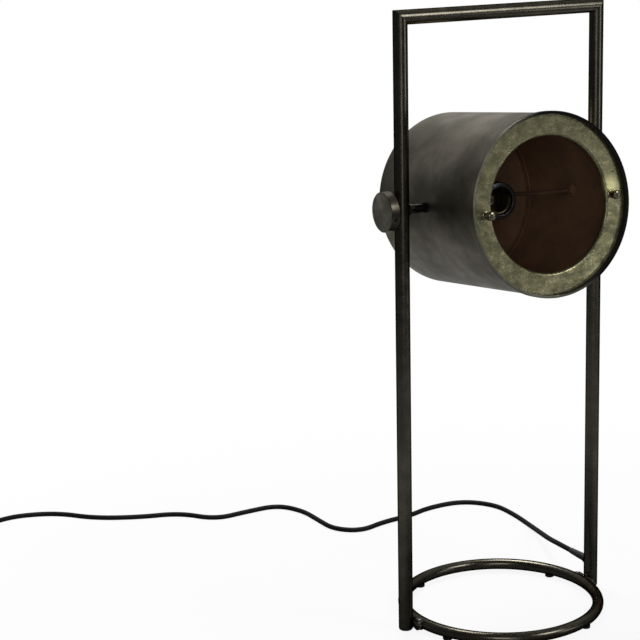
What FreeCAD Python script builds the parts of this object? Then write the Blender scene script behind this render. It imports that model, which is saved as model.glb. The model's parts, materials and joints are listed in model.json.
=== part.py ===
"""Tabletop searchlight lamp: a drum head that tilts between two tube posts on a ring base.

Millimetres. The origin is the centre of the base ring on the surface that the lamp stands on.
+Z is up, the open end of the drum looks towards -Y, and the drum tilts about an axis along X.
"""
import FreeCAD, Part
import math
import os

Vec = FreeCAD.Vector
X_AXIS = Vec(1, 0, 0)
Y_AXIS = Vec(0, 1, 0)
Z_AXIS = Vec(0, 0, 1)
ORIGIN = Vec(0, 0, 0)
LEFT = -1
RIGHT = 1

# ---- frame: posts, top bar and base ring -------------------------------------------------
overall_height = 645.0
post_d = 15.0
post_wall = 1.5
ring_radius = 104.0            # centreline of the base ring
ring_bar_d = 12.0
weld_root_gap = 0.05           # between a post and the ring that it is welded to
weld_bead_r = 5.0
weld_reach = 6.8               # of a bead's centre in front of or behind its post's axis
pad_d = 10.0
pad_height = 2.0
pad_saddle = 1.0               # height to which a pad hugs the ring
pad_count = 4
first_pad_angle = 25.5
foot_cap_height = 3.0
foot_cap_round = 2.2
foot_plug_depth = 12.0
seat_gap = 0.02                # between pieces that are pressed or screwed together

# ---- pivots ------------------------------------------------------------------------------
pivot_z = 445.5
rest_tilt = 6.6                # the open end looks up by this angle at rest
stem_d = 6.0                   # threaded rod on the left
pipe_d = 8.0                   # hollow threaded pipe on the right, for the flex
pipe_bore_d = 5.6
pipe_slot_length = 8.0
running_gap = 0.05             # radial, between a turning stem and its bush
bush_wall = 1.2
bush_flange_width = 1.8
bush_flange_thick = 1.0
bush_insert = 3.5              # from the post's surface into the post
axial_gap = 0.2                # between a bush flange and the spacer that turns beside it
spacer_wall = 2.2
knob_gap = 5.5                 # between a post and its knob
knob_d = 40.6
knob_thick = 10.0
knob_edge = 0.7                # bevel on both edges of the rim
knob_bore_depth = 7.5
set_screw_d = 4.0
set_screw_socket_d = 2.3
set_screw_depth = 0.6          # below the knob's rim
set_screw_drop = 14.0          # angle below the horizontal at which the set screw faces forward
stem_nut_flats = 10.0
stem_nut_thick = 3.2
pipe_nut_flats = 12.0
pipe_nut_thick = 3.2
stem_stick_out = 1.5           # of a stem past its inner nut

# ---- drum --------------------------------------------------------------------------------
drum_d = 181.6
drum_wall = 1.2
drum_front = 95.0              # from the pivot axis to the front rim
drum_rear = 94.0               # from the pivot axis to the rear edge
drum_drop = 2.5                # of the drum's own axis below the pivot axis
collar_step = 1.85             # of the collar's radius past the drum's
collar_width = 7.0
collar_face_thick = 2.0        # of the part that closes over the drum's front edge
collar_round = 0.8             # of both front edges
collar_rear_bevel = 0.8
face_ring_width = 21.43        # from its bore to its outer edge
face_ring_thick = 1.2
face_ring_recess = 5.5         # behind the front rim
face_ring_lip = 4.4            # depth of the turned-in inner edge
face_ring_edge = 2.5           # outer radius of its bend
face_ring_turn = 2.4           # angle by which the ring is turned in its seat
ring_screw_inset = 6.5         # of the screws from the ring's bore
ring_screw_d = 4.0
ring_screw_head_d = 9.0
ring_screw_head_h = 7.0
ring_screw_length = 6.5
screw_head_bevel = 0.9
screw_slot_width = 1.0
screw_slot_depth = 0.9
lug_width = 12.0
lug_thick = 2.0
lug_foot_length = 12.0
lug_clear = 1.5                # between a lug and the ring's turned-in edge
wall_fit = 0.05                # between the shell and what sits inside it
hole_play = 0.1                # radial, of a plain hole around a screw or stem
back_plate_recess = 5.0
back_plate_thick = 1.2
back_plate_flange = 8.0
vent_count = 8
vent_d = 8.0
vent_radius = 40.0

# ---- lampholder and its bracket ----------------------------------------------------------
holder_wall = 4.0              # of the sleeve
holder_mouth = 0.0             # position of the mouth behind the pivot axis
holder_sleeve_length = 24.0
holder_sleeve_gap = 1.8        # between the sleeve and the screw shell's rim
holder_mouth_play = 1.3        # of the mouth's radius past the screw shell's
holder_mouth_lip = 1.5
holder_cap_length = 26.0
holder_cap_wall = 2.0
holder_cap_neck_d = 20.0
holder_cap_neck_length = 4.0
core_lead = 2.0                # of the ceramic core in front of the holder's seam
core_length = 10.0
shell_bore_d = 26.6            # over the crests of a lamp's thread, with play
shell_length = 19.0
shell_seat_length = 3.4        # of its narrower end, round the contact
shell_seat_step = 1.4
shell_sheet = 0.4
shell_rim = 0.5                # of the rolled rim past the sheet
shell_rim_width = 1.2
contact_d = 6.4
contact_height = 3.2
contact_clear = 2.0            # between the contact and the screw shell's floor
nipple_d = 10.0
nipple_bore_d = 7.0
nipple_reach = 6.5             # into the lampholder's cap
nipple_tail = 5.0              # past the bracket
nipple_nut_flats = 14.0
nipple_nut_thick = 3.0
bracket_thick = 1.5
bracket_width = 22.0
bracket_half_height = 17.5
bracket_foot = 13.0
bracket_screw_d = 4.0
bracket_screw_head_d = 7.6
bracket_screw_head_h = 2.4
bracket_screw_length = 9.0
bracket_nut_flats = 7.0
bracket_nut_thick = 3.2

# ---- inner flex --------------------------------------------------------------------------
flex_d = 4.4
flex_bend = 12.0               # bend radius inside the drum
flex_turn_x = 50.0             # where the flex turns to the rear, from the lamp's middle
flex_clear = 22.0              # behind the lampholder, where the flex crosses
flex_end_gap = 0.5             # between the riser and the pipe that turns above it

# ---- mains cord --------------------------------------------------------------------------
cord_d = 5.8
cord_exit_z = 28.0
grommet_neck_d = 8.0
grommet_flange_d = 10.0
grommet_flange_thick = 2.0
grommet_length = 10.5          # outside the post
grommet_insert = 3.0
relief_length = 20.0
relief_start_wall = 0.85
relief_end_wall = 0.25
cord_play = 0.05               # radial, of the cord in its sleeves
sheath_start_y = 3.0           # the flex bends up inside the post from here

switch_length = 66.0
switch_width = 25.0
switch_nose_width = 12.0
switch_shoulder = 9.0          # length of each tapered end
switch_base_height = 7.5
switch_cover_height = 7.5
switch_corner_round = 3.0
switch_top_round = 2.0
switch_x = -430.0
switch_y = 514.0
switch_heading = 190.0         # direction in which the cord leaves it, towards the plug
cord_grip = 10.0               # length of cord held in each end of the switch
rocker_length = 19.0
rocker_width = 10.6
rocker_gap = 0.4
rocker_end_gap = 0.75
rocker_swing = 16.0            # full travel
rocker_axis_depth = 2.8        # below the switch's top
rocker_pin_d = 2.4
rocker_pin_reach = 2.0
rocker_rise = 3.4              # of its ends above its axis
rocker_dip = 2.2               # of its middle above its axis
rocker_depth = 3.0
rocker_well_depth = 6.4
switch_screw_spread = 44.0
switch_screw_d = 2.8
switch_screw_head_d = 5.4
switch_screw_head_h = 2.0
switch_screw_length = 10.0
switch_screw_recess = 0.8

coil_x = -472.0
coil_y = 438.0
coil_mean_d = 66.0             # middle of the turns
coil_edge = 2.4                # sloped edges of the wound ring
tie_width = 8.0
tie_thick = 1.2
tie_gap = 0.1
tie_angle = 20.0

plug_rear_y = 386.0
plug_length = 36.0
plug_width = 35.0
plug_thick = 13.6
plug_tail_d = 9.0
plug_tail_length = 14.0
plug_round = 3.0
pin_d = 4.0
pin_length = 19.0
pin_spacing = 18.6
pin_tip_bevel = 1.0
pin_root = 4.0                 # of the thicker part moulded into the plug
pin_root_d = 5.0

# ---- worked out from the sizes above -----------------------------------------------------
post_r = post_d / 2
ring_bar_r = ring_bar_d / 2
ring_z = pad_height + ring_bar_r
post_x = ring_radius + ring_bar_r + post_r + weld_root_gap
bar_z = overall_height - post_r
drum_r = drum_d / 2
drum_inner_r = drum_r - drum_wall
collar_r = drum_r + collar_step
collar_bore_r = drum_r + seat_gap
collar_seat_y = -drum_front + collar_face_thick
face_ring_outer_r = drum_inner_r - wall_fit
face_ring_bore_r = face_ring_outer_r - face_ring_width
ring_screw_radius = face_ring_bore_r + ring_screw_inset
knob_r = knob_d / 2
knob_inner_x = post_x + post_r + knob_gap
knob_outer_x = knob_inner_x + knob_thick
face_ring_y = -drum_front + face_ring_recess
back_plate_y = drum_rear - back_plate_recess
plate_front_y = back_plate_y - back_plate_thick
shell_bore_r = shell_bore_d / 2
holder_mouth_r = shell_bore_r + holder_mouth_play
holder_bore_r = shell_bore_r + shell_sheet + shell_rim + holder_sleeve_gap
holder_r = holder_bore_r + holder_wall
holder_seam_y = holder_mouth + holder_sleeve_length
holder_rear_y = holder_seam_y + holder_cap_length
core_front_y = holder_seam_y - core_lead
flex_rear_y = holder_rear_y + flex_clear
cord_r = cord_d / 2
coil_mean_r = coil_mean_d / 2
coil_height = cord_d * (1 + math.sqrt(3) / 2)   # two turns side by side, one in their groove
outer_turn_x = coil_x - coil_mean_r - cord_r
plug_x = outer_turn_x
cord_axis_in_switch = switch_base_height
switch_top = switch_base_height + switch_cover_height
rocker_axis_z = switch_top - rocker_axis_depth
lug_front_y = face_ring_y + face_ring_thick


# ---- helpers -----------------------------------------------------------------------------
def rod(radius, start, end):
    """Round bar from one point to another."""
    return Part.makeCylinder(radius, (end - start).Length, start, end - start)


def pipe(outer_r, inner_r, start, end):
    """Round tube from one point to another."""
    return rod(outer_r, start, end).cut(rod(inner_r, start, end))


def box(low, high):
    """Box between two corners."""
    size = high - low
    return Part.makeBox(size.x, size.y, size.z, low)


def lathe(profile, centre=ORIGIN):
    """Revolve a profile of (radius, y) points about the Y axis and move it to centre."""
    points = [Vec(radius, y, 0) for radius, y in profile]
    face = Part.Face(Part.makePolygon(points + points[:1]))
    solid = face.revolve(ORIGIN, Y_AXIS, 360)
    solid.translate(centre)
    return solid


def prism_y(outline, y_low, y_high):
    """Extrude an outline of (x, z) points along Y."""
    points = [Vec(x, y_low, z) for x, z in outline]
    face = Part.Face(Part.makePolygon(points + points[:1]))
    return face.extrude(Vec(0, y_high - y_low, 0))


def hex_nut(flats, thick, bore_r, start, direction):
    """Hexagon nut that begins at start and reaches along direction."""
    corner_r = flats / math.sqrt(3)
    points = []
    for i in range(6):
        turn = math.radians(60 * i)
        points.append(Vec(corner_r * math.cos(turn), corner_r * math.sin(turn), 0))
    nut = Part.Face(Part.makePolygon(points + points[:1])).extrude(Vec(0, 0, thick))
    nut = nut.cut(Part.makeCylinder(bore_r, thick, ORIGIN, Z_AXIS))
    nut.Placement = FreeCAD.Placement(start, FreeCAD.Rotation(Z_AXIS, direction))
    return nut


def pan_screw(shank_d, head_d, head_h, length, seat, direction):
    """Slotted pan-head screw whose head sits at seat and whose shank reaches along direction."""
    head = Part.makeCylinder(head_d / 2, head_h, Vec(0, 0, -head_h), Z_AXIS)
    top_edges = [edge for edge in head.Edges if edge.BoundBox.ZMax < -head_h + 0.01]
    head = head.makeChamfer(screw_head_bevel, top_edges)
    slot_low = Vec(-head_d, -screw_slot_width / 2, -head_h)
    slot_high = Vec(head_d, screw_slot_width / 2, -head_h + screw_slot_depth)
    head = head.cut(box(slot_low, slot_high))
    screw = head.fuse(Part.makeCylinder(shank_d / 2, length, ORIGIN, Z_AXIS))
    screw.Placement = FreeCAD.Placement(seat, FreeCAD.Rotation(Z_AXIS, direction))
    return screw


def circle_edges(shape, radius, y):
    """Edges of a turned piece that are circles of this radius at this height along Y."""
    found = []
    for edge in shape.Edges:
        bounds = edge.BoundBox
        if abs(bounds.YMax - y) < 0.01 and abs(bounds.YLength) < 0.01:
            if abs(bounds.XLength - 2 * radius) < 0.01:
                found.append(edge)
    return found


def route_path(points):
    """Wire of straight runs joined by tangent arcs, the list of arc radii and the length."""
    edges = []
    radii = []
    start = points[0]
    for before, corner, after in zip(points, points[1:], points[2:]):
        towards = (corner - before).normalize()
        away = (after - corner).normalize()
        turn = towards.getAngle(away)
        shorter = min((corner - before).Length, (after - corner).Length)
        setback = 0.45 * shorter
        radius = setback / math.tan(turn / 2)
        radii.append(radius)
        arc_start = corner - towards * setback
        arc_end = corner + away * setback
        inward = (away - towards).normalize()
        bulge = radius / math.cos(turn / 2) - radius
        arc_middle = corner + inward * bulge
        edges.append(Part.LineSegment(start, arc_start).toShape())
        edges.append(Part.Arc(arc_start, arc_middle, arc_end).toShape())
        start = arc_end
    edges.append(Part.LineSegment(start, points[-1]).toShape())
    wire = Part.Wire(edges)
    return wire, radii, wire.Length


def bent_tube(points, radius):
    """Solid round cord along a route, with its arc radii and its length."""
    wire, radii, length = route_path(points)
    circle = Part.Circle(points[0], points[1] - points[0], radius).toShape()
    solid = wire.makePipeShell([Part.Wire([circle])], True, True)
    return solid, radii, length


def in_drum(shape):
    """Put a piece made in the drum's own frame, with the pivot at its origin, at rest."""
    shape.rotate(ORIGIN, X_AXIS, -rest_tilt)
    shape.translate(Vec(0, 0, pivot_z))
    return shape


def on_drum_axis(y):
    """Point on the drum's own axis, in the drum's frame."""
    return Vec(0, y, -drum_drop)


# ---- frame -------------------------------------------------------------------------------
def mitre_reach():
    """Distance to which the mitre cutters reach past a corner."""
    return 2 * post_d


def post(side):
    """Post: a tube with a mitred top, bored for the pivot bushes."""
    x = side * post_x
    foot = Vec(x, 0, foot_cap_height)
    top = Vec(x, 0, bar_z + post_d)
    tube = pipe(post_r, post_r - post_wall, foot, top)
    reach = mitre_reach()
    outline = [
        (side * (post_x - reach), 0),
        (side * (post_x - reach), bar_z - reach),
        (side * (post_x + reach), bar_z + reach),
        (side * (post_x + reach), 0),
    ]
    tube = tube.common(prism_y(outline, -reach, reach))
    bore_r = bush_outer_r(side) + seat_gap
    bore = rod(bore_r, Vec(x - post_d, 0, pivot_z), Vec(x + post_d, 0, pivot_z))
    return tube.cut(bore)


def post_right():
    """Right post, which also has the hole for the mains cord at its back."""
    hole_start = Vec(post_x, 0, cord_exit_z)
    hole = rod(grommet_neck_d / 2 + seat_gap, hole_start, hole_start + Vec(0, post_d, 0))
    return post(RIGHT).cut(hole)


def top_bar():
    """Top bar: a tube mitred to both posts."""
    reach = mitre_reach()
    start = Vec(-post_x - reach, 0, bar_z)
    end = Vec(post_x + reach, 0, bar_z)
    outline = [
        (-post_x - reach, bar_z + reach),
        (-post_x + reach, bar_z - reach),
        (post_x - reach, bar_z - reach),
        (post_x + reach, bar_z + reach),
    ]
    return pipe(post_r, post_r - post_wall, start, end).common(prism_y(outline, -reach, reach))


def ring_solid(extra=0.0):
    """Base ring, or the space that it takes with extra all round."""
    return Part.makeTorus(ring_radius, ring_bar_r + extra, Vec(0, 0, ring_z), Z_AXIS)


def ring_welds():
    """Weld beads in front of and behind each post, in the groove beside the ring."""
    bead_x = ring_radius + ring_bar_r - 0.6
    beads = []
    for side in (LEFT, RIGHT):
        x = side * post_x
        keep_out = rod(post_r + seat_gap, Vec(x, 0, -post_d), Vec(x, 0, 3 * post_d))
        keep_out = keep_out.fuse(ring_solid(seat_gap))
        for y in (-weld_reach, weld_reach):
            bead = Part.makeSphere(weld_bead_r, Vec(side * bead_x, y, ring_z + 0.5))
            bead = bead.cut(keep_out)
            beads.append(max(bead.Solids, key=lambda solid: solid.Volume))
    return Part.Compound(beads)


def foot_pads():
    """Plastic pads under the base ring."""
    pads = []
    for i in range(pad_count):
        angle = math.radians(first_pad_angle + i * 360 / pad_count)
        centre = Vec(ring_radius * math.cos(angle), ring_radius * math.sin(angle), 0)
        pad = Part.makeCylinder(pad_d / 2, pad_height + pad_saddle, centre, Z_AXIS)
        foot_edge = [edge for edge in pad.Edges if edge.BoundBox.ZMax < 0.01]
        pad = pad.makeChamfer(0.5, foot_edge)
        pads.append(pad.cut(ring_solid(seat_gap)))
    return Part.Compound(pads)


def foot_plugs():
    """Plastic end plugs that close the posts, with a rounded cap below each."""
    plugs = []
    for side in (LEFT, RIGHT):
        base = Vec(side * post_x, 0, 0)
        cap = Part.makeCylinder(post_r, foot_cap_height, base, Z_AXIS)
        foot_edge = [edge for edge in cap.Edges if edge.BoundBox.ZMax < 0.01]
        cap = cap.makeFillet(foot_cap_round, foot_edge)
        insert_r = post_r - post_wall - seat_gap
        insert_top = base + Vec(0, 0, foot_cap_height + foot_plug_depth)
        plugs.append(cap.fuse(rod(insert_r, base + Vec(0, 0, 1), insert_top)))
    return Part.Compound(plugs)


# ---- pivots ------------------------------------------------------------------------------
def stem_r(side):
    """Radius of the stem that carries the drum on this side."""
    return stem_d / 2 if side == LEFT else pipe_d / 2


def bush_outer_r(side):
    """Outer radius of the bushes on this side."""
    return stem_r(side) + running_gap + bush_wall


def pivot_bushes(side):
    """Two flanged bushes, one in each wall of a post."""
    bore_r = stem_r(side) + running_gap
    outer_r = bush_outer_r(side)
    flange_r = outer_r + bush_flange_width
    bushes = []
    for face in (LEFT, RIGHT):
        surface = Vec(side * post_x + face * post_r, 0, pivot_z)
        outward = Vec(face, 0, 0)
        barrel = rod(outer_r, surface - outward * bush_insert, surface)
        flange = rod(flange_r, surface, surface + outward * bush_flange_thick)
        bore = rod(bore_r, surface - outward * post_d, surface + outward * post_d)
        bushes.append(barrel.fuse(flange).cut(bore))
    return Part.Compound(bushes)


def inner_nut_x(flats):
    """Outer face of a nut inside the drum, where its corners just clear the curved wall."""
    half_width = flats / math.sqrt(3) + drum_drop
    return math.sqrt(drum_inner_r ** 2 - half_width ** 2) - seat_gap


def nut_sizes(side):
    """Width across flats and thickness of the nuts on this side."""
    if side == LEFT:
        return stem_nut_flats, stem_nut_thick
    return pipe_nut_flats, pipe_nut_thick


def stem_inner_x(side):
    """Inner end of the stem, inside the drum."""
    flats, thick = nut_sizes(side)
    return inner_nut_x(flats) - thick - stem_stick_out


def pivot_rod():
    """Threaded rod that carries the left side of the drum."""
    start = Vec(-stem_inner_x(LEFT), 0, 0)
    end = Vec(-knob_inner_x - knob_bore_depth, 0, 0)
    return in_drum(rod(stem_d / 2, start, end))


def pivot_pipe():
    """Hollow pipe that carries the right side of the drum and lets the flex in from the post."""
    start = Vec(stem_inner_x(RIGHT), 0, 0)
    end = Vec(knob_inner_x + knob_bore_depth, 0, 0)
    tube = pipe(pipe_d / 2, pipe_bore_d / 2, start, end)
    slot_low = Vec(post_x - pipe_slot_length / 2, -pipe_d, -pipe_d)
    slot_high = Vec(post_x + pipe_slot_length / 2, pipe_d, 0)
    return in_drum(tube.cut(box(slot_low, slot_high)))


def pivot_nuts(side):
    """Nut outside and nut inside the drum's wall, which clamp it to the stem."""
    flats, thick = nut_sizes(side)
    bore_r = stem_r(side) + seat_gap
    outward = Vec(side, 0, 0)
    outer = hex_nut(flats, thick, bore_r, outward * (drum_r + seat_gap), outward)
    inner = hex_nut(flats, thick, bore_r, outward * inner_nut_x(flats), -outward)
    return in_drum(Part.Compound([outer, inner]))


def pivot_spacer(side):
    """Sleeve between the post's bush and the knob."""
    inner_x = post_x + post_r + bush_flange_thick + axial_gap
    bore_r = stem_r(side) + seat_gap
    start = Vec(side * inner_x, 0, 0)
    end = Vec(side * knob_inner_x, 0, 0)
    return in_drum(pipe(bore_r + spacer_wall, bore_r, start, end))


def set_screw_direction():
    """Direction in which the knobs' set screws face, in the drum's frame."""
    angle = math.radians(set_screw_drop + rest_tilt)
    return Vec(0, -math.cos(angle), -math.sin(angle))


def knob(side):
    """Disc knob with bevelled edges, bored for the stem and for its set screw."""
    start = Vec(side * knob_inner_x, 0, 0)
    end = Vec(side * knob_outer_x, 0, 0)
    disc = rod(knob_r, start, end)
    disc = disc.makeChamfer(knob_edge, [e for e in disc.Edges if len(e.Vertexes) == 1])
    bore_end = Vec(side * (knob_inner_x + knob_bore_depth), 0, 0)
    disc = disc.cut(rod(stem_r(side) + seat_gap, start, bore_end))
    middle = (start + end) * 0.5
    hole = rod(set_screw_d / 2 + seat_gap, middle, middle + set_screw_direction() * knob_d)
    return in_drum(disc.cut(hole))


def knob_set_screws():
    """Hollow-head set screws that hold the knobs on the stems."""
    outward = set_screw_direction()
    screws = []
    for side in (LEFT, RIGHT):
        middle = Vec(side * (knob_inner_x + knob_outer_x) / 2, 0, 0)
        head = middle + outward * (knob_r - set_screw_depth)
        tip = middle + outward * (stem_r(side) + seat_gap)
        screw = rod(set_screw_d / 2, tip, head)
        socket = rod(set_screw_socket_d / 2, head - outward * 2.0, head)
        screws.append(screw.cut(socket))
    return in_drum(Part.Compound(screws))


# ---- drum --------------------------------------------------------------------------------
def drum_shell():
    """Drum: a sheet-metal tube from the collar to the rear, with a hole for each stem."""
    start = on_drum_axis(collar_seat_y + seat_gap)
    shell = pipe(drum_r, drum_inner_r, start, on_drum_axis(drum_rear))
    for side in (LEFT, RIGHT):
        hole_r = stem_r(side) + hole_play
        shell = shell.cut(rod(hole_r, ORIGIN, Vec(side * 2 * drum_r, 0, 0)))
    return in_drum(shell)


def front_collar():
    """Collar: a band round the drum's front that closes over its edge, with rounded corners."""
    front = -drum_front
    rear = front + collar_width
    profile = [
        (drum_inner_r, front),
        (collar_r, front),
        (collar_r, rear),
        (collar_bore_r, rear),
        (collar_bore_r, collar_seat_y),
        (drum_inner_r, collar_seat_y),
    ]
    collar = lathe(profile)
    front_edges = circle_edges(collar, collar_r, front)
    front_edges += circle_edges(collar, drum_inner_r, front)
    collar = collar.makeFillet(collar_round, front_edges)
    collar = collar.makeChamfer(collar_rear_bevel, circle_edges(collar, collar_r, rear))
    collar.translate(on_drum_axis(0))
    return in_drum(collar)


def turn_in_seat(shape):
    """Turn a piece about the drum's axis by the face ring's angle and put it in the drum."""
    shape.rotate(ORIGIN, Y_AXIS, -face_ring_turn)
    shape.translate(on_drum_axis(0))
    return in_drum(shape)


def face_ring():
    """Brass ring inside the drum, with a turned-in inner edge and two screw holes."""
    bore_r = face_ring_bore_r
    lip_r = bore_r + face_ring_thick
    front = face_ring_y
    profile = [
        (face_ring_outer_r, front),
        (bore_r, front),
        (bore_r, front + face_ring_lip),
        (lip_r, front + face_ring_lip),
        (lip_r, lug_front_y),
        (face_ring_outer_r, lug_front_y),
    ]
    ring = lathe(profile)
    ring = ring.makeFillet(face_ring_edge, circle_edges(ring, bore_r, front))
    inner_bend = face_ring_edge - face_ring_thick
    ring = ring.makeFillet(inner_bend, circle_edges(ring, lip_r, lug_front_y))
    for side in (LEFT, RIGHT):
        centre = Vec(side * ring_screw_radius, front - 1, 0)
        ring = ring.cut(rod(ring_screw_d / 2 + hole_play, centre, centre + Vec(0, 3, 0)))
    return turn_in_seat(ring)


def face_ring_screws():
    """Pan-head screws that hold the face ring."""
    screws = []
    for side in (LEFT, RIGHT):
        seat = Vec(side * ring_screw_radius, face_ring_y, 0)
        screw = pan_screw(
            ring_screw_d, ring_screw_head_d, ring_screw_head_h, ring_screw_length, seat, Y_AXIS
        )
        screws.append(screw)
    return turn_in_seat(Part.Compound(screws))


def face_ring_lugs():
    """Angle lugs on the drum's wall that take the face ring's screws."""
    wall_r = drum_inner_r - wall_fit
    start_x = face_ring_bore_r + face_ring_thick + lug_clear
    lugs = []
    for side in (LEFT, RIGHT):
        half = lug_width / 2
        rear = lug_front_y + lug_thick
        x_low, x_high = sorted((side * start_x, side * drum_r))
        plate = box(Vec(x_low, lug_front_y, -half), Vec(x_high, rear, half))
        foot_x = math.sqrt(wall_r ** 2 - half ** 2) - lug_thick
        x_low, x_high = sorted((side * foot_x, side * drum_r))
        foot = box(Vec(x_low, lug_front_y, -half), Vec(x_high, lug_front_y + lug_foot_length, half))
        bore = Part.makeCylinder(wall_r, drum_front, Vec(0, -drum_front, 0), Y_AXIS)
        centre = Vec(side * ring_screw_radius, lug_front_y - 1, 0)
        hole = rod(ring_screw_d / 2 + seat_gap, centre, centre + Vec(0, lug_thick + 2, 0))
        lugs.append(plate.fuse(foot).common(bore).cut(hole))
    return turn_in_seat(Part.Compound(lugs))


def back_plate():
    """Rear cover: a flanged disc with vents, pressed into the drum."""
    outer_r = drum_inner_r - wall_fit
    profile = [
        (0, back_plate_y),
        (outer_r, back_plate_y),
        (outer_r, back_plate_y - back_plate_flange),
        (outer_r - back_plate_thick, back_plate_y - back_plate_flange),
        (outer_r - back_plate_thick, plate_front_y),
        (0, plate_front_y),
    ]
    plate = lathe(profile)
    for i in range(vent_count):
        angle = math.radians((i + 0.5) * 360 / vent_count)
        centre = Vec(vent_radius * math.cos(angle), plate_front_y - 1, vent_radius * math.sin(angle))
        plate = plate.cut(rod(vent_d / 2, centre, centre + Vec(0, 4, 0)))
    for z in bracket_screw_heights():
        centre = Vec(0, plate_front_y - 1, z)
        plate = plate.cut(rod(bracket_screw_d / 2 + hole_play, centre, centre + Vec(0, 4, 0)))
    plate.translate(on_drum_axis(0))
    return in_drum(plate)


# ---- lampholder and its bracket ----------------------------------------------------------
def bracket_screw_heights():
    """Heights of the bracket's two screws above the drum's axis."""
    height = bracket_half_height - bracket_thick + bracket_foot / 2 + 1
    return (height, -height)


def holder_bracket():
    """Strip folded to a U with two feet, which carries the lampholder from the back plate."""
    inner = bracket_half_height - bracket_thick
    rear = plate_front_y
    foot_front = rear - bracket_thick
    foot_end = inner + bracket_foot
    outline = [
        (holder_rear_y, -bracket_half_height),
        (holder_rear_y, bracket_half_height),
        (foot_front, bracket_half_height),
        (foot_front, foot_end),
        (rear, foot_end),
        (rear, inner),
        (holder_rear_y + bracket_thick, inner),
        (holder_rear_y + bracket_thick, -inner),
        (rear, -inner),
        (rear, -foot_end),
        (foot_front, -foot_end),
        (foot_front, -bracket_half_height),
    ]
    points = [Vec(-bracket_width / 2, y, z) for y, z in outline]
    face = Part.Face(Part.makePolygon(points + points[:1]))
    strip = face.extrude(Vec(bracket_width, 0, 0))
    hole_start = Vec(0, holder_rear_y - 1, 0)
    strip = strip.cut(rod(nipple_d / 2 + seat_gap, hole_start, hole_start + Vec(0, 4, 0)))
    for z in bracket_screw_heights():
        start = Vec(0, foot_front - 1, z)
        strip = strip.cut(rod(bracket_screw_d / 2 + seat_gap, start, start + Vec(0, 4, 0)))
    strip.translate(on_drum_axis(0))
    return in_drum(strip)


def bracket_screws():
    """Screws through the back plate, with their heads outside."""
    screws = []
    for z in bracket_screw_heights():
        seat = Vec(0, back_plate_y, z)
        screw = pan_screw(
            bracket_screw_d,
            bracket_screw_head_d,
            bracket_screw_head_h,
            bracket_screw_length,
            seat,
            -Y_AXIS,
        )
        screws.append(screw)
    group = Part.Compound(screws)
    group.translate(on_drum_axis(0))
    return in_drum(group)


def bracket_nuts():
    """Nuts that clamp the bracket's feet to the back plate."""
    seat_y = plate_front_y - bracket_thick
    nuts = []
    for z in bracket_screw_heights():
        seat = Vec(0, seat_y, z)
        bore_r = bracket_screw_d / 2 + seat_gap
        nuts.append(hex_nut(bracket_nut_flats, bracket_nut_thick, bore_r, seat, -Y_AXIS))
    group = Part.Compound(nuts)
    group.translate(on_drum_axis(0))
    return in_drum(group)


def holder_nipple():
    """Hollow threaded nipple that joins the lampholder to its bracket."""
    start = on_drum_axis(holder_rear_y - nipple_reach)
    end = on_drum_axis(holder_rear_y + bracket_thick + nipple_tail)
    return in_drum(pipe(nipple_d / 2, nipple_bore_d / 2, start, end))


def nipple_nut():
    """Lock nut on the nipple, behind the bracket."""
    seat = on_drum_axis(holder_rear_y + bracket_thick)
    bore_r = nipple_d / 2 + seat_gap
    return in_drum(hex_nut(nipple_nut_flats, nipple_nut_thick, bore_r, seat, Y_AXIS))


def holder_cap():
    """Rear half of the lampholder: a hollow cone that narrows to the nipple."""
    outer_r = holder_r
    neck_r = holder_cap_neck_d / 2
    bore_r = nipple_d / 2 + seat_gap
    neck_y = holder_rear_y - holder_cap_neck_length
    shoulder_y = holder_seam_y + holder_cap_length / 3
    inner_end = neck_y - holder_cap_wall
    profile = [
        (bore_r, holder_rear_y),
        (neck_r, holder_rear_y),
        (neck_r, neck_y),
        (outer_r, shoulder_y),
        (outer_r, holder_seam_y),
        (outer_r - holder_cap_wall, holder_seam_y),
        (outer_r - holder_cap_wall, shoulder_y - holder_cap_wall / 2),
        (neck_r - holder_cap_wall / 2, inner_end),
        (bore_r, inner_end),
    ]
    return in_drum(lathe(profile, on_drum_axis(0)))


def holder_sleeve():
    """Front half of the lampholder, which screws onto the cap and guards the screw shell."""
    outer_r = holder_r
    bore_r = holder_bore_r
    mouth_r = holder_mouth_r
    front = holder_mouth
    rear = holder_seam_y - seat_gap
    profile = [
        (mouth_r, front),
        (outer_r - 1.0, front),
        (outer_r, front + 1.0),
        (outer_r, rear),
        (bore_r, rear),
        (bore_r, front + holder_mouth_lip + 1.0),
        (mouth_r, front + holder_mouth_lip),
    ]
    return in_drum(lathe(profile, on_drum_axis(0)))


def holder_core():
    """Ceramic core that carries the screw shell and the centre contact."""
    start = on_drum_axis(core_front_y)
    end = on_drum_axis(core_front_y + core_length)
    return in_drum(rod(holder_bore_r - seat_gap, start, end))


def screw_shell():
    """Brass screw shell with a rolled rim and a narrower seat on the core; its thread is plain."""
    bore_r = shell_bore_r
    outer_r = bore_r + shell_sheet
    seat_r = bore_r - shell_seat_step
    seat_front = core_front_y - shell_seat_length
    floor_front = core_front_y - shell_sheet
    front = core_front_y - shell_length
    rim_rear = front + shell_rim_width
    opening_r = contact_d / 2 + contact_clear
    profile = [
        (bore_r, front),
        (outer_r + shell_rim, front),
        (outer_r + shell_rim, rim_rear),
        (outer_r, rim_rear),
        (outer_r, seat_front + shell_sheet),
        (seat_r + shell_sheet, seat_front + shell_sheet),
        (seat_r + shell_sheet, core_front_y),
        (opening_r, core_front_y),
        (opening_r, floor_front),
        (seat_r, floor_front),
        (seat_r, seat_front),
        (bore_r, seat_front),
    ]
    return in_drum(lathe(profile, on_drum_axis(0)))


def centre_contact():
    """Brass centre contact, a domed button on the core."""
    base = on_drum_axis(core_front_y)
    tip = on_drum_axis(core_front_y - contact_height)
    return in_drum(rod(contact_d / 2, base, tip))


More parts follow.
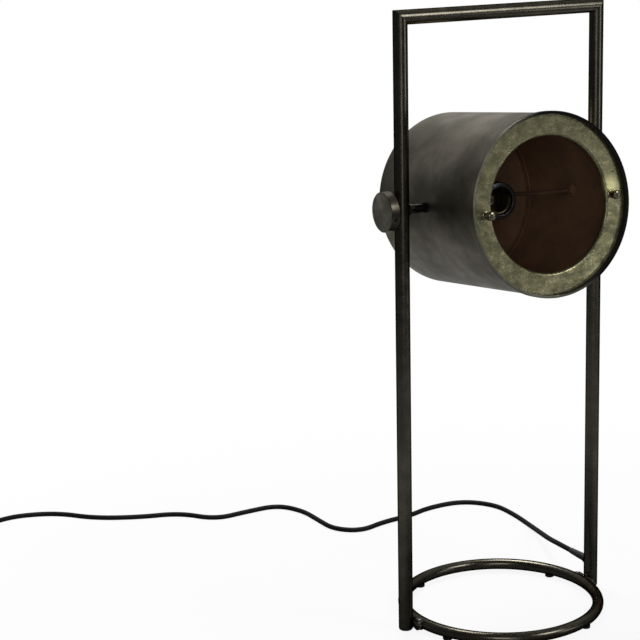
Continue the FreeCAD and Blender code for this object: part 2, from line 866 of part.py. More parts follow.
# ---- inner flex --------------------------------------------------------------------------
def riser_flex():
    """Flex inside the right post, from the end of the cord's sheath up to the pivot pipe."""
    bend = sheath_start_y
    start = cord_exit_point(post_r - grommet_insert)
    bend_start = cord_exit_point(bend)
    bend_middle = Vec(
        post_x,
        bend - bend * math.sin(math.radians(45)),
        cord_exit_z + bend - bend * math.cos(math.radians(45)),
    )
    bend_end = Vec(post_x, 0, cord_exit_z + bend)
    top = Vec(post_x, 0, pivot_z - pipe_d / 2 - flex_end_gap)
    edges = [
        Part.LineSegment(start, bend_start).toShape(),
        Part.Arc(bend_start, bend_middle, bend_end).toShape(),
        Part.LineSegment(bend_end, top).toShape(),
    ]
    circle = Part.Wire([Part.Circle(start, Y_AXIS, flex_d / 2).toShape()])
    return Part.Wire(edges).makePipeShell([circle], True, True)


def rounded_path(points, radius):
    """Wire through points with one bend radius."""
    edges = []
    start = points[0]
    for before, corner, after in zip(points, points[1:], points[2:]):
        towards = (corner - before).normalize()
        away = (after - corner).normalize()
        turn = towards.getAngle(away)
        setback = radius * math.tan(turn / 2)
        arc_start = corner - towards * setback
        arc_end = corner + away * setback
        inward = (away - towards).normalize()
        arc_middle = corner + inward * (radius / math.cos(turn / 2) - radius)
        edges.append(Part.LineSegment(start, arc_start).toShape())
        edges.append(Part.Arc(arc_start, arc_middle, arc_end).toShape())
        start = arc_end
    edges.append(Part.LineSegment(start, points[-1]).toShape())
    return Part.Wire(edges)


def drum_flex():
    """Flex from the pivot pipe round to the nipple and into the lampholder."""
    points = [
        Vec(post_x, 0, 0),
        Vec(flex_turn_x, 0, 0),
        Vec(flex_turn_x - flex_bend, flex_rear_y, -drum_drop),
        Vec(0, flex_rear_y, -drum_drop),
        Vec(0, holder_rear_y - nipple_reach, -drum_drop),
    ]
    wire = rounded_path(points, flex_bend)
    circle = Part.Wire([Part.Circle(points[0], X_AXIS, flex_d / 2).toShape()])
    return in_drum(wire.makePipeShell([circle], True, True))


# ---- mains cord --------------------------------------------------------------------------
def cord_exit_point(y):
    """Point on the straight line along which the cord leaves the post."""
    return Vec(post_x, y, cord_exit_z)


def cord_grommet():
    """Grommet moulded on the cord, in the post's back wall."""
    insert_start = cord_exit_point(post_r - grommet_insert)
    surface = cord_exit_point(post_r)
    flange_end = cord_exit_point(post_r + grommet_flange_thick)
    end = cord_exit_point(post_r + grommet_length)
    body = rod(grommet_neck_d / 2, insert_start, end)
    return body.fuse(rod(grommet_flange_d / 2, surface, flange_end))


def strain_relief():
    """Tapered sleeve round the cord, behind the grommet."""
    start_y = post_r + grommet_length
    end_y = start_y + relief_length
    profile = [
        (cord_r + cord_play, start_y),
        (cord_r + cord_play + relief_start_wall, start_y),
        (cord_r + cord_play + relief_end_wall, end_y),
        (cord_r + cord_play, end_y),
    ]
    return lathe(profile, cord_exit_point(0))


def switch_frame(shape):
    """Put a piece made about the switch's own middle, with the cord along X, in its place."""
    shape.rotate(ORIGIN, Z_AXIS, switch_heading)
    shape.translate(Vec(switch_x, switch_y, 0))
    return shape


def switch_point(along):
    """Point on the cord's line through the switch."""
    return switch_frame(Part.Vertex(Vec(along, 0, cord_axis_in_switch))).Point


def lamp_side_route():
    """Route of the cord from the post to the switch."""
    half = switch_length / 2
    floor_z = cord_r
    loose = [
        Vec(126, 95, 22.5),
        Vec(137, 129, 14.5),
        Vec(148, 161, 7),
        Vec(157, 193, floor_z),
        Vec(164, 228, floor_z),
        Vec(166, 268, floor_z),
        Vec(137, 301, floor_z),
        Vec(90, 302, floor_z),
        Vec(55, 287, floor_z),
        Vec(18, 285, floor_z),
        Vec(-22, 270, floor_z),
        Vec(-52, 296, floor_z),
        Vec(-50, 338, floor_z),
        Vec(-44, 372, floor_z),
        Vec(-68, 402, floor_z),
        Vec(-108, 404, floor_z),
        Vec(-152, 400, floor_z),
        Vec(-182, 438, floor_z),
        Vec(-232, 449, floor_z),
        Vec(-280, 476, floor_z),
        Vec(-308, 520, floor_z),
        Vec(-350, 539, floor_z),
    ]
    start = [cord_exit_point(post_r + grommet_length), cord_exit_point(58)]
    end = [switch_point(-half - 14), switch_point(-half + cord_grip)]
    return start + loose + end


def plug_side_route():
    """Route of the cord from the switch to the coil."""
    half = switch_length / 2
    start = [switch_point(half - cord_grip), switch_point(half + 12)]
    loose = [Vec(-499, 492, cord_r + 1.0)]
    end = [Vec(outer_turn_x, coil_y + 28, cord_r), Vec(outer_turn_x, coil_y + 12, cord_r)]
    return start + loose + end


def plug_lead_route():
    """Route of the cord from the coil to the plug."""
    plug_z = plug_thick / 2
    return [
        Vec(outer_turn_x, coil_y - 12, cord_r),
        Vec(outer_turn_x + 0.5, coil_y - 25, cord_r + 0.2),
        Vec(plug_x, plug_rear_y + 12, plug_z),
        Vec(plug_x, plug_rear_y, plug_z),
    ]


def cord_coil():
    """Outer shape of the wound cord: a low ring with sloped edges."""
    inner_r = coil_mean_r - cord_d
    outer_r = coil_mean_r + cord_d
    base = Vec(coil_x, coil_y, 0)
    ring = Part.makeCylinder(outer_r, coil_height, base, Z_AXIS)
    ring = ring.cut(Part.makeCylinder(inner_r, coil_height, base, Z_AXIS))
    ring = ring.makeChamfer(coil_edge, [e for e in ring.Edges if len(e.Vertexes) == 1])
    return ring.cut(tie_hollow(tie_thick + tie_gap))


def tie_hollow(lift):
    """Space under the coil, or inside the strap, up to lift above the floor."""
    inner_x, outer_x = tie_span()
    half = tie_width / 2 + tie_gap
    space = box(Vec(inner_x - tie_thick, -half, 0), Vec(outer_x + tie_thick, half, lift))
    space.rotate(ORIGIN, Z_AXIS, tie_angle)
    space.translate(Vec(coil_x, coil_y, 0))
    return space


def tie_span():
    """Distances of the strap's two sides from the coil's middle."""
    inner_r = coil_mean_r - cord_d
    inner_x = math.sqrt(inner_r ** 2 - (tie_width / 2) ** 2) - tie_gap
    return inner_x, coil_mean_r + cord_d + tie_gap


def cord_tie():
    """Closed strap round one side of the coil."""
    inner_x, outer_x = tie_span()
    half = tie_width / 2
    top = coil_height + tie_gap
    low = Vec(inner_x - tie_thick, -half, 0)
    high = Vec(outer_x + tie_thick, half, top + tie_thick)
    strap = box(low, high).cut(box(Vec(inner_x, -half, tie_thick), Vec(outer_x, half, top)))
    strap.rotate(ORIGIN, Z_AXIS, tie_angle)
    strap.translate(Vec(coil_x, coil_y, 0))
    return strap


def switch_block(z_low, z_high):
    """Block with the switch's plan, a long shape with tapered ends."""
    half = switch_length / 2
    wide = switch_width / 2
    nose = switch_nose_width / 2
    shoulder = half - switch_shoulder
    outline = [
        (-half, -nose),
        (-shoulder, -wide),
        (shoulder, -wide),
        (half, -nose),
        (half, nose),
        (shoulder, wide),
        (-shoulder, wide),
        (-half, nose),
    ]
    points = [Vec(x, y, z_low) for x, y in outline]
    face = Part.Face(Part.makePolygon(points + points[:1]))
    block = face.extrude(Vec(0, 0, z_high - z_low))
    upright = [e for e in block.Edges if e.BoundBox.ZLength > (z_high - z_low) / 2]
    return block.makeFillet(switch_corner_round, upright)


def switch_cord_holes():
    """Space that the cord takes in both ends of the switch."""
    half = switch_length / 2
    radius = cord_r + cord_play
    holes = []
    for side in (LEFT, RIGHT):
        inner = Vec(side * (half - cord_grip), 0, cord_axis_in_switch)
        outer = Vec(side * (half + 1), 0, cord_axis_in_switch)
        holes.append(rod(radius, inner, outer))
    return Part.Compound(holes)


def switch_screw_places():
    """Positions of the two screws, on one diagonal."""
    x = switch_screw_spread / 2
    y = switch_width / 2 - 4.5
    return (Vec(-x, y, 0), Vec(x, -y, 0))


def switch_base():
    """Lower half of the switch."""
    base = switch_block(0, switch_base_height).cut(switch_cord_holes())
    for place in switch_screw_places():
        head_top = place + Vec(0, 0, switch_screw_recess + switch_screw_head_h + seat_gap)
        base = base.cut(rod(switch_screw_head_d / 2 + hole_play, place, head_top))
        top = place + Vec(0, 0, switch_base_height)
        base = base.cut(rod(switch_screw_d / 2 + seat_gap, place, top))
    return switch_frame(base)


def switch_cover():
    """Upper half of the switch, with the rocker's well."""
    cover = switch_block(switch_base_height, switch_top)
    top_edges = [e for e in cover.Edges if e.BoundBox.ZMin > switch_top - 0.01]
    cover = cover.makeFillet(switch_top_round, top_edges).cut(switch_cord_holes())
    half_length = rocker_length / 2 + rocker_end_gap
    half_width = rocker_width / 2 + rocker_gap
    low = Vec(-half_length, -half_width, switch_top - rocker_well_depth)
    cover = cover.cut(box(low, Vec(half_length, half_width, switch_top + 1)))
    pin_r = rocker_pin_d / 2 + running_gap
    pin_end = rocker_width / 2 + rocker_pin_reach + rocker_gap
    cover = cover.cut(
        rod(pin_r, Vec(0, -pin_end, rocker_axis_z), Vec(0, pin_end, rocker_axis_z))
    )
    for place in switch_screw_places():
        start = place + Vec(0, 0, switch_base_height)
        end = place + Vec(0, 0, switch_screw_recess + switch_screw_head_h + switch_screw_length)
        cover = cover.cut(rod(switch_screw_d / 2 + seat_gap, start, end))
    return switch_frame(cover)


def switch_rocker():
    """Rocker with its two pins, tilted towards its off end."""
    end = rocker_length / 2
    outline = [
        (-end, rocker_rise),
        (0, rocker_dip),
        (end, rocker_rise),
        (end, 0.4),
        (end * 0.45, -rocker_depth),
        (-end * 0.45, -rocker_depth),
        (-end, 0.4),
    ]
    rocker = prism_y(outline, -rocker_width / 2, rocker_width / 2)
    reach = rocker_width / 2 + rocker_pin_reach
    rocker = rocker.fuse(rod(rocker_pin_d / 2, Vec(0, -reach, 0), Vec(0, reach, 0)))
    rocker.rotate(ORIGIN, Y_AXIS, -rocker_swing / 2)
    rocker.translate(Vec(0, 0, rocker_axis_z))
    return switch_frame(rocker)


def switch_screws():
    """Screws that hold the two halves of the switch together."""
    screws = []
    for place in switch_screw_places():
        seat = place + Vec(0, 0, switch_screw_recess + switch_screw_head_h)
        head = rod(switch_screw_head_d / 2, place + Vec(0, 0, switch_screw_recess), seat)
        shank = rod(switch_screw_d / 2, seat, seat + Vec(0, 0, switch_screw_length))
        screws.append(head.fuse(shank))
    return switch_frame(Part.Compound(screws))


def plug_body():
    """Flat two-pin plug body that narrows to the cord, lying on its side towards -Y."""
    rear_y = plug_rear_y - plug_tail_length
    front_y = plug_rear_y - plug_length
    middle_z = plug_thick / 2
    half = plug_width / 2
    waist = plug_tail_d / 2 + 1.5
    outline = [
        (-half, front_y),
        (half, front_y),
        (half, front_y + 10),
        (waist, rear_y),
        (-waist, rear_y),
        (-half, front_y + 10),
    ]
    points = [Vec(plug_x + x, y, 0) for x, y in outline]
    face = Part.Face(Part.makePolygon(points + points[:1]))
    body = face.extrude(Vec(0, 0, plug_thick))
    long_edges = [e for e in body.Edges if e.BoundBox.ZLength < 0.01 and e.BoundBox.YLength > 5]
    body = body.makeFillet(plug_round, long_edges)
    centre = Vec(plug_x, 0, middle_z)
    tail = lathe(
        [(0, rear_y), (plug_tail_d / 2, rear_y), (cord_r + 0.6, plug_rear_y), (0, plug_rear_y)],
        centre,
    )
    body = body.fuse(tail)
    for pin in pin_places():
        body = body.cut(rod(pin_root_d / 2 + seat_gap, pin, pin + Vec(0, pin_root, 0)))
    return body


def pin_places():
    """Points on the plug's front face where its pins leave it."""
    front_y = plug_rear_y - plug_length
    half = pin_spacing / 2
    return [Vec(plug_x + x, front_y, plug_thick / 2) for x in (-half, half)]


def plug_pins():
    """Two round pins with thicker roots in the plug's body."""
    pins = []
    for place in pin_places():
        pin = rod(pin_d / 2, place, place - Vec(0, pin_length, 0))
        tip = [e for e in pin.Edges if e.BoundBox.YMax < place.y - pin_length + 0.01]
        root = rod(pin_root_d / 2, place + Vec(0, pin_root, 0), place)
        pins.append(pin.makeChamfer(pin_tip_bevel, tip).fuse(root))
    return Part.Compound(pins)


# ---- every node --------------------------------------------------------------------------
def cords():
    """Tubes of the mains cord, with their radii and lengths printed."""
    routes = {
        "power_cord_lamp_side": lamp_side_route(),
        "power_cord_plug_side": plug_side_route(),
        "power_cord_plug_lead": plug_lead_route(),
    }
    tubes = {}
    for name, points in routes.items():
        solid, radii, length = bent_tube(points, cord_r)
        tubes[name] = solid
        share = solid.Volume / (math.pi * cord_r ** 2 * length)
        print(name, "radii", [round(radius) for radius in radii])
        print(name, "length %.0f, volume over section times length %.4f" % (length, share))
    return tubes


def all_nodes():
    """Every sub-part by name."""
    nodes = {
        "post_left": post(LEFT),
        "post_right": post_right(),
        "top_bar": top_bar(),
        "base_ring": ring_solid(),
        "ring_welds": ring_welds(),
        "foot_pads": foot_pads(),
        "foot_plugs": foot_plugs(),
        "pivot_bushes_left": pivot_bushes(LEFT),
        "pivot_bushes_right": pivot_bushes(RIGHT),
        "riser_flex": riser_flex(),
        "cord_grommet": cord_grommet(),
        "strain_relief": strain_relief(),
        "drum_shell": drum_shell(),
        "front_collar": front_collar(),
        "face_ring": face_ring(),
        "face_ring_screws": face_ring_screws(),
        "face_ring_lugs": face_ring_lugs(),
        "back_plate": back_plate(),
        "holder_bracket": holder_bracket(),
        "bracket_screws": bracket_screws(),
        "bracket_nuts": bracket_nuts(),
        "holder_nipple": holder_nipple(),
        "nipple_nut": nipple_nut(),
        "holder_cap": holder_cap(),
        "holder_sleeve": holder_sleeve(),
        "holder_core": holder_core(),
        "screw_shell": screw_shell(),
        "centre_contact": centre_contact(),
        "pivot_rod": pivot_rod(),
        "pivot_pipe": pivot_pipe(),
        "pivot_nuts_left": pivot_nuts(LEFT),
        "pivot_nuts_right": pivot_nuts(RIGHT),
        "pivot_spacer_left": pivot_spacer(LEFT),
        "pivot_spacer_right": pivot_spacer(RIGHT),
        "knob_left": knob(LEFT),
        "knob_right": knob(RIGHT),
        "knob_set_screws": knob_set_screws(),
        "drum_flex": drum_flex(),
        "switch_base": switch_base(),
        "switch_cover": switch_cover(),
        "switch_rocker": switch_rocker(),
        "switch_screws": switch_screws(),
        "cord_coil": cord_coil(),
        "cord_tie": cord_tie(),
        "plug_body": plug_body(),
        "plug_pins": plug_pins(),
    }
    nodes.update(cords())
    return nodes


def main():
    os.makedirs("parts", exist_ok=True)
    for name, shape in all_nodes().items():
        if not shape.isValid():
            print("not valid:", name)
        shape.exportStep("parts/" + name + ".step")


main()
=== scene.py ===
"""Tabletop searchlight lamp: its looks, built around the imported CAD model."""
import json
import math
import bmesh
import bpy
from mathutils import Matrix, Vector
from mathutils import noise as fields


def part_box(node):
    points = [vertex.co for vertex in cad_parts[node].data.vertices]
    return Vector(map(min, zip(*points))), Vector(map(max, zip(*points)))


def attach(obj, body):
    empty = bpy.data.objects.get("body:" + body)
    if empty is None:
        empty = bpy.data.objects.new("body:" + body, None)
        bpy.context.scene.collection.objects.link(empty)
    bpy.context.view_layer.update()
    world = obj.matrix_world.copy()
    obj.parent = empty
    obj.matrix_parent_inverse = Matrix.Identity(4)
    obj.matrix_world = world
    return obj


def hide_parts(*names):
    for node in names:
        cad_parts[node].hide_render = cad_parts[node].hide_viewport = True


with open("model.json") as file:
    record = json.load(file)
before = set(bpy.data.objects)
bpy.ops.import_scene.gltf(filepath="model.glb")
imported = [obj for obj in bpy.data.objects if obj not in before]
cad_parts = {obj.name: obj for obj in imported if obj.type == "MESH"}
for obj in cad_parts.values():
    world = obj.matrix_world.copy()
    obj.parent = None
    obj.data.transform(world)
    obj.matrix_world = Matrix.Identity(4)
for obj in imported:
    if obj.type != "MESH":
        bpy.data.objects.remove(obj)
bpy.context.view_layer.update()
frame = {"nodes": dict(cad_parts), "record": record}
nodes = frame["nodes"]

# ---- sizes and places of the CAD model, in metres ----------------------------------------
MM = 0.001
PIVOT = Vector((0, 0, 0.4455))
DRUM_TILT = math.radians(6.6)
DRUM_AXIS = Vector((0, math.cos(DRUM_TILT), -math.sin(DRUM_TILT)))
DRUM_UP = Vector((0, math.sin(DRUM_TILT), math.cos(DRUM_TILT)))
DRUM_DROP = 2.5 * MM  # of the drum's axis below the pivot
DRUM_CENTRE = PIVOT - DRUM_UP * DRUM_DROP
DRUM_BORE_R = 89.6 * MM
PLATE_FRONT = 87.8 * MM  # front of the back plate, along the drum's axis
RING_BACK, RING_FRONT = -88.3 * MM, -89.5 * MM  # faces of the brass ring, along the same axis
KNOB_LOW, KNOB_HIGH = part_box("knob_left")
KNOB_R = (KNOB_HIGH.z - KNOB_LOW.z) / 2

BODY_OF = {node: body for body, members in frame["record"]["behaviour"]["bodies"].items()
           for node in members}
SLOT_OF = {row["node"]: row["material_slot"] for row in frame["record"]["subparts"]}

# places of millimetre meshes: in the drum's tilted frame about the pivot, and in the lamp's
IN_DRUM = Matrix.Translation(PIVOT) @ Matrix.Rotation(-DRUM_TILT, 4, "X") @ Matrix.Scale(MM, 4)
IN_FRAME = Matrix.Scale(MM, 4)

# ---- camera ------------------------------------------------------------------------------
CAMERA_PLACE = (-1.07600, -1.66520, 0.81737)
CAMERA_YAW = 0.52116
CAMERA_PITCH = -0.20637
CAMERA_ROLL = -0.01006
CAMERA_LENS = 110.285
CAMERA_SENSOR = 36.0
CAMERA_SHIFT = -0.125

camera_data = bpy.data.cameras.new("camera")
camera_data.lens = CAMERA_LENS
camera_data.sensor_width = CAMERA_SENSOR
camera_data.shift_x = CAMERA_SHIFT
camera_data.shift_y = CAMERA_SHIFT
camera_data.clip_start = 0.05
camera_data.clip_end = 60.0
camera = bpy.data.objects.new("camera", camera_data)
bpy.context.scene.collection.objects.link(camera)
camera.matrix_world = (
    Matrix.Translation(CAMERA_PLACE)
    @ Matrix.Rotation(-CAMERA_YAW, 4, "Z")
    @ Matrix.Rotation(math.pi / 2 + CAMERA_PITCH, 4, "X")
    @ Matrix.Rotation(CAMERA_ROLL, 4, "Z")
)
bpy.context.scene.camera = camera

# ---- cord, in millimetres ----------------------------------------------------------------
POST_X = 117.55
CORD_D = 5.8
CORD_EXIT = (POST_X, 7.5, 28.0)
LAMP_SIDE = [  # from the post to the in-line switch
    CORD_EXIT, (POST_X, 58, 28), (126.5, 95, 22), (140, 128, 14.5), (153, 159, 7),
    (162, 191, 2.9), (166, 227, 2.9), (165, 268, 2.9), (137, 301, 2.9), (90, 302, 2.9),
    (55, 289, 2.9), (18, 287, 2.9), (-19, 274, 2.9), (-45, 297, 2.9), (-46, 336, 2.9),
    (-47, 373, 2.9), (-65, 407, 2.9), (-107, 406, 2.9), (-151, 402, 2.9),
    (-179, 444, 2.9), (-228, 457, 2.9), (-276, 483, 2.9), (-306, 522, 2.9),
    (-350, 539, 2.9), (-383.71, 522.16, 7.5), (-407.35, 517.99, 7.5),
]
PLUG_SIDE = [  # from the switch to the coil
    (-452.65, 510.01, 7.5), (-474.32, 506.19, 7.5), (-499, 492, 3.9),
    (-507.9, 466, 2.9), (-507.9, 450, 2.9),
]
COIL_CENTRE = (-472.0, 438.0)
COIL_STEP = 20
COIL_KEYS = [  # angle wound so far from +X, radius and height of the cord's middle
    (180, 35.9, 2.9), (430, 35.9, 2.9), (510, 30.0, 2.9), (760, 30.0, 2.9),
    (780, 29.8, 4.6), (800, 30.3, 6.7), (820, 31.0, 8.3), (840, 32.0, 9.0),
    (870, 33.0, 8.6), (900, 33.0, 8.1), (1120, 33.0, 8.1), (1140, 34.3, 8.8),
    (1160, 35.9, 9.3), (1180, 37.1, 9.2), (1200, 38.2, 9.1), (1230, 39.2, 8.9),
    (1250, 39.2, 8.7),
]
PLUG_LEAD = [  # from the coil to the plug
    (-511.4, 429, 8.5), (-511, 414, 7.6), (-508.4, 399, 6.8), (-507.9, 384, 6.8),
]


def between(keys, at):
    """Values of a keyed list at a place between its keys."""
    for low, high in zip(keys, keys[1:]):
        if low[0] <= at <= high[0]:
            share = (at - low[0]) / (high[0] - low[0])
            return [a + (b - a) * share for a, b in zip(low[1:], high[1:])]
    return list(keys[-1][1:])


def coil_points():
    """Points of the coil's turns, a little outside the line, because the spline passes inside."""
    # share of its points' radius at which a quadratic spline passes them on a circle
    inside = 0.75 + 0.25 * math.cos(math.radians(COIL_STEP))
    found = []
    for angle in range(COIL_KEYS[0][0] + COIL_STEP, COIL_KEYS[-1][0], COIL_STEP):
        radius, height = between(COIL_KEYS, angle)
        turn = math.radians(angle)
        found.append((COIL_CENTRE[0] + radius / inside * math.cos(turn),
                      COIL_CENTRE[1] + radius / inside * math.sin(turn), height))
    return found


def nurbs_cord(name, points, diameter):
    """Round cord on one NURBS spline, sizes in millimetres.

    The radius sits on the points, because the curve's bounds are worked out from it.
    """
    data = bpy.data.curves.new(name, "CURVE")
    data.dimensions = "3D"
    spline = data.splines.new("NURBS")
    spline.points.add(len(points) - 1)
    for target, point in zip(spline.points, points):
        target.co = (point[0] * MM, point[1] * MM, point[2] * MM, 1)
        target.radius = diameter / 2 * MM
    spline.order_u = 3
    spline.use_endpoint_u = True
    spline.resolution_u = 8
    data.bevel_depth = 1.0  # times each point's own radius
    data.bevel_resolution = 6
    data.use_fill_caps = True
    piece = bpy.data.objects.new(name, data)
    bpy.context.scene.collection.objects.link(piece)
    return piece


cord = nurbs_cord("mains_cord", LAMP_SIDE + PLUG_SIDE + coil_points() + PLUG_LEAD, CORD_D)
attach(cord, "frame")
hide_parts("power_cord_lamp_side", "power_cord_plug_side", "power_cord_plug_lead",
            "cord_coil")

# ---- colours: tones are (position on a noise, colour) from dark to light -----------------
FRAME_TONES = [(0.3, (0.085, 0.078, 0.060)), (0.5, (0.110, 0.102, 0.080)),
               (0.7, (0.150, 0.140, 0.110))]
FRAME_EDGE_TINT = (0.10, 0.10, 0.09)
STEEL_TONES = [(0.36, (0.098, 0.090, 0.062)), (0.49, (0.165, 0.151, 0.112)),
               (0.62, (0.270, 0.243, 0.195))]
STEEL_WORN = (0.30, 0.275, 0.23)
RIM_TONES = [(0.36, (0.110, 0.110, 0.080)), (0.50, (0.170, 0.168, 0.128)),
             (0.62, (0.260, 0.255, 0.200))]
# painted shade: black for the recess in front of the brass ring and for the rim's shaded side
RIM_PAINTED_SHADE = (0.010, 0.009, 0.008)
RIM_SHADE_SIDE = (0.94, 0, 0.34)
LACQUER_LOW = (0.195, 0.112, 0.063)
LACQUER_HIGH = (0.270, 0.144, 0.077)
OXIDE_TONES = [(0.3, (0.016, 0.015, 0.012)), (0.7, (0.055, 0.052, 0.044))]
BRASS_TONES = [(0.38, (0.15, 0.145, 0.075)), (0.50, (0.25, 0.242, 0.128)),
               (0.62, (0.40, 0.375, 0.215))]
BRASS_PATINA = (0.085, 0.085, 0.045)
BRASS_WORN = (0.62, 0.57, 0.36)
# painted highlight: a bright spot on the brass above the right-hand ring screw
BRASS_GLINT = (0.92, 0.88, 0.46)
# painted shade: the brass darkens towards this side, over this reach
BRASS_SHADE_SIDE, BRASS_SHADE_REACH = (0.6, 0, 0.8), 60 * MM
BRASS_GLINT_PLACE = (DRUM_CENTRE + Vector((74.0 * MM, 0, 0)) + DRUM_AXIS * RING_FRONT
                   + DRUM_UP * (11.0 * MM))
BRASS_GLINT_NEAR, BRASS_GLINT_FAR = 4 * MM, 14 * MM  # from that place, where the painted highlight fades
KNOB_TONES = [(0.34, (0.26, 0.24, 0.19)), (0.50, (0.38, 0.36, 0.29)),
              (0.64, (0.55, 0.52, 0.43))]
# painted shade: the knob's rim and outer edge, darker than its face
KNOB_RIM_SHADE = (0.085, 0.075, 0.060)
KNOB_RING_SPACING = 0.5 * MM
WELD_TONES = [(0.3, (0.045, 0.043, 0.036)), (0.7, (0.13, 0.125, 0.105))]
RING_SCREW_TONES = [(0.3, (0.11, 0.105, 0.066)), (0.7, (0.40, 0.38, 0.26))]
FLEX_TONES = [(0.3, (0.120, 0.068, 0.038)), (0.7, (0.165, 0.090, 0.048))]
# painted shade: a darker brass for the screw shell deep in the lampholder
SHELL_SHADE_TONES = [(0.3, (0.050, 0.042, 0.024)), (0.7, (0.110, 0.090, 0.050))]
FITTING_BRASS_TONES = [(0.3, (0.14, 0.11, 0.06)), (0.7, (0.30, 0.24, 0.13))]
FITTING_STEEL_TONES = [(0.3, (0.06, 0.058, 0.052)), (0.7, (0.16, 0.155, 0.14))]
HOLDER_TONES = [(0.3, (0.020, 0.018, 0.016)), (0.7, (0.034, 0.030, 0.027))]
CERAMIC_TONES = [(0.3, (0.62, 0.59, 0.52)), (0.7, (0.74, 0.71, 0.64))]
PLASTIC_TONES = [(0.3, (0.010, 0.010, 0.010)), (0.7, (0.020, 0.020, 0.019))]
RELIEF_TONES = [(0.3, (0.020, 0.020, 0.019)), (0.7, (0.040, 0.040, 0.038))]
CORD_TONES = [(0.3, (0.003, 0.003, 0.003)), (0.7, (0.007, 0.007, 0.007))]
LACQUER_ROUGHNESS = 0.72
FADE_START, FADE_END = 0.2 * MM, 0.5 * MM  # beyond a limit where one finish ends


# ---- shader nodes, in metres -------------------------------------------------------------
def new_material(name):
    """Empty node material with its shader and its object coordinates."""
    material = bpy.data.materials.new(name)
    material.use_nodes = True
    tree = material.node_tree
    tree.nodes.clear()
    shader = tree.nodes.new("ShaderNodeBsdfPrincipled")
    output = tree.nodes.new("ShaderNodeOutputMaterial")
    tree.links.new(shader.outputs["BSDF"], output.inputs["Surface"])
    place = tree.nodes.new("ShaderNodeTexCoord").outputs["Object"]
    return material, tree, shader, place


def noise(tree, place, scale, detail, roughness, stretch=None):
    """Noise value over object coordinates, in features per metre."""
    if stretch is not None:
        mapping = tree.nodes.new("ShaderNodeMapping")
        mapping.inputs["Scale"].default_value = stretch
        tree.links.new(place, mapping.inputs["Vector"])
        place = mapping.outputs["Vector"]
    texture = tree.nodes.new("ShaderNodeTexNoise")
    texture.inputs["Scale"].default_value = scale
    texture.inputs["Detail"].default_value = detail
    texture.inputs["Roughness"].default_value = roughness
    tree.links.new(place, texture.inputs["Vector"])
    return texture.outputs["Fac"]


def ramp(tree, value, stops):
    """Colour ramp over a value; stops are (position, colour)."""
    node = tree.nodes.new("ShaderNodeValToRGB")
    elements = node.color_ramp.elements
    while len(elements) < len(stops):
        elements.new(0.5)
    for element, (position, colour) in zip(elements, stops):
        element.position = position
        element.color = (*colour, 1)
    tree.links.new(value, node.inputs["Fac"])
    return node.outputs["Color"]


def grey_ramp(tree, value, levels):
    """Ramp of greys over a value; levels are (position, level)."""
    return ramp(tree, value, [(position, (level, level, level)) for position, level in levels])


def spread(tree, value, low, high, to_low=0.0, to_high=1.0):
    """Map a value from one range to another."""
    node = tree.nodes.new("ShaderNodeMapRange")
    node.inputs["From Min"].default_value = low
    node.inputs["From Max"].default_value = high
    node.inputs["To Min"].default_value = to_low
    node.inputs["To Max"].default_value = to_high
    tree.links.new(value, node.inputs["Value"])
    return node.outputs["Result"]


def mix(tree, share, first, second):
    """Mix two colours; the share and the colours are each a socket or a plain value."""
    node = tree.nodes.new("ShaderNodeMix")
    node.data_type = "RGBA"
    for key, given in (("Factor", share), ("A", first), ("B", second)):
        target = next(socket for socket in node.inputs if socket.name == key and socket.enabled)
        if isinstance(given, (int, float)):
            target.default_value = given
        elif isinstance(given, tuple):
            target.default_value = (*given, 1)
        else:
            tree.links.new(given, target)
    return next(socket for socket in node.outputs if socket.enabled)


def product(tree, first, second):
    """Product of two values."""
    node = tree.nodes.new("ShaderNodeMath")
    node.operation = "MULTIPLY"
    tree.links.new(first, node.inputs[0])
    tree.links.new(second, node.inputs[1])
    return node.outputs[0]


def vector_math(tree, operation, first, second=None):
    """One vector operation on a socket, and on a plain vector where it takes two."""
    node = tree.nodes.new("ShaderNodeVectorMath")
    node.operation = operation
    tree.links.new(first, node.inputs[0])
    if second is not None:
        node.inputs[1].default_value = tuple(second)
    return node


def offset_from(tree, place, point):
    """Vector from a point to the place."""
    return vector_math(tree, "SUBTRACT", place, point).outputs["Vector"]


def length_of(tree, vector):
    """Length of a vector."""
    return vector_math(tree, "LENGTH", vector).outputs["Value"]


def reach_along(tree, vector, direction):
    """How far a vector reaches in a direction."""
    return vector_math(tree, "DOT_PRODUCT", vector, direction).outputs["Value"]


def distance_from_axis(tree, offset, axis):
    """Distance from an axis of an offset from a point on it."""
    return length_of(tree, vector_math(tree, "CROSS_PRODUCT", offset, axis).outputs["Vector"])


def within(tree, value, limit):
    """1 up to a limit and 0 beyond it, with a short fade between."""
    return spread(tree, value, limit + FADE_START, limit + FADE_END, 1.0, 0.0)


def bump(tree, shader, height, depth):
    """Bump of this depth."""
    node = tree.nodes.new("ShaderNodeBump")
    node.inputs["Distance"].default_value = depth
    tree.links.new(height, node.inputs["Height"])
    tree.links.new(node.outputs["Normal"], shader.inputs["Normal"])


# ---- finishes ----------------------------------------------------------------------------
def mottled(name, tones, metallic, rough, patch=18.0, grain=900.0, depth=0.06 * MM):
    """Mottled surface: colours from large patches broken by fine grain, smooth at depth 0."""
    material, tree, shader, place = new_material(name)
    large = noise(tree, place, patch, detail=6.0, roughness=0.65)
    colour = ramp(tree, large, tones)
    fine = noise(tree, place, grain, detail=4.0, roughness=0.6)
    colour = mix(tree, spread(tree, fine, 0.35, 0.65, to_high=0.35), colour, tones[0][1])
    tree.links.new(colour, shader.inputs["Base Color"])
    shader.inputs["Metallic"].default_value = metallic
    medium = noise(tree, place, patch * 4, detail=4.0, roughness=0.6)
    tree.links.new(spread(tree, medium, 0.3, 0.7, *rough), shader.inputs["Roughness"])
    if depth > 0:
        bump(tree, shader, fine, depth)
    return material


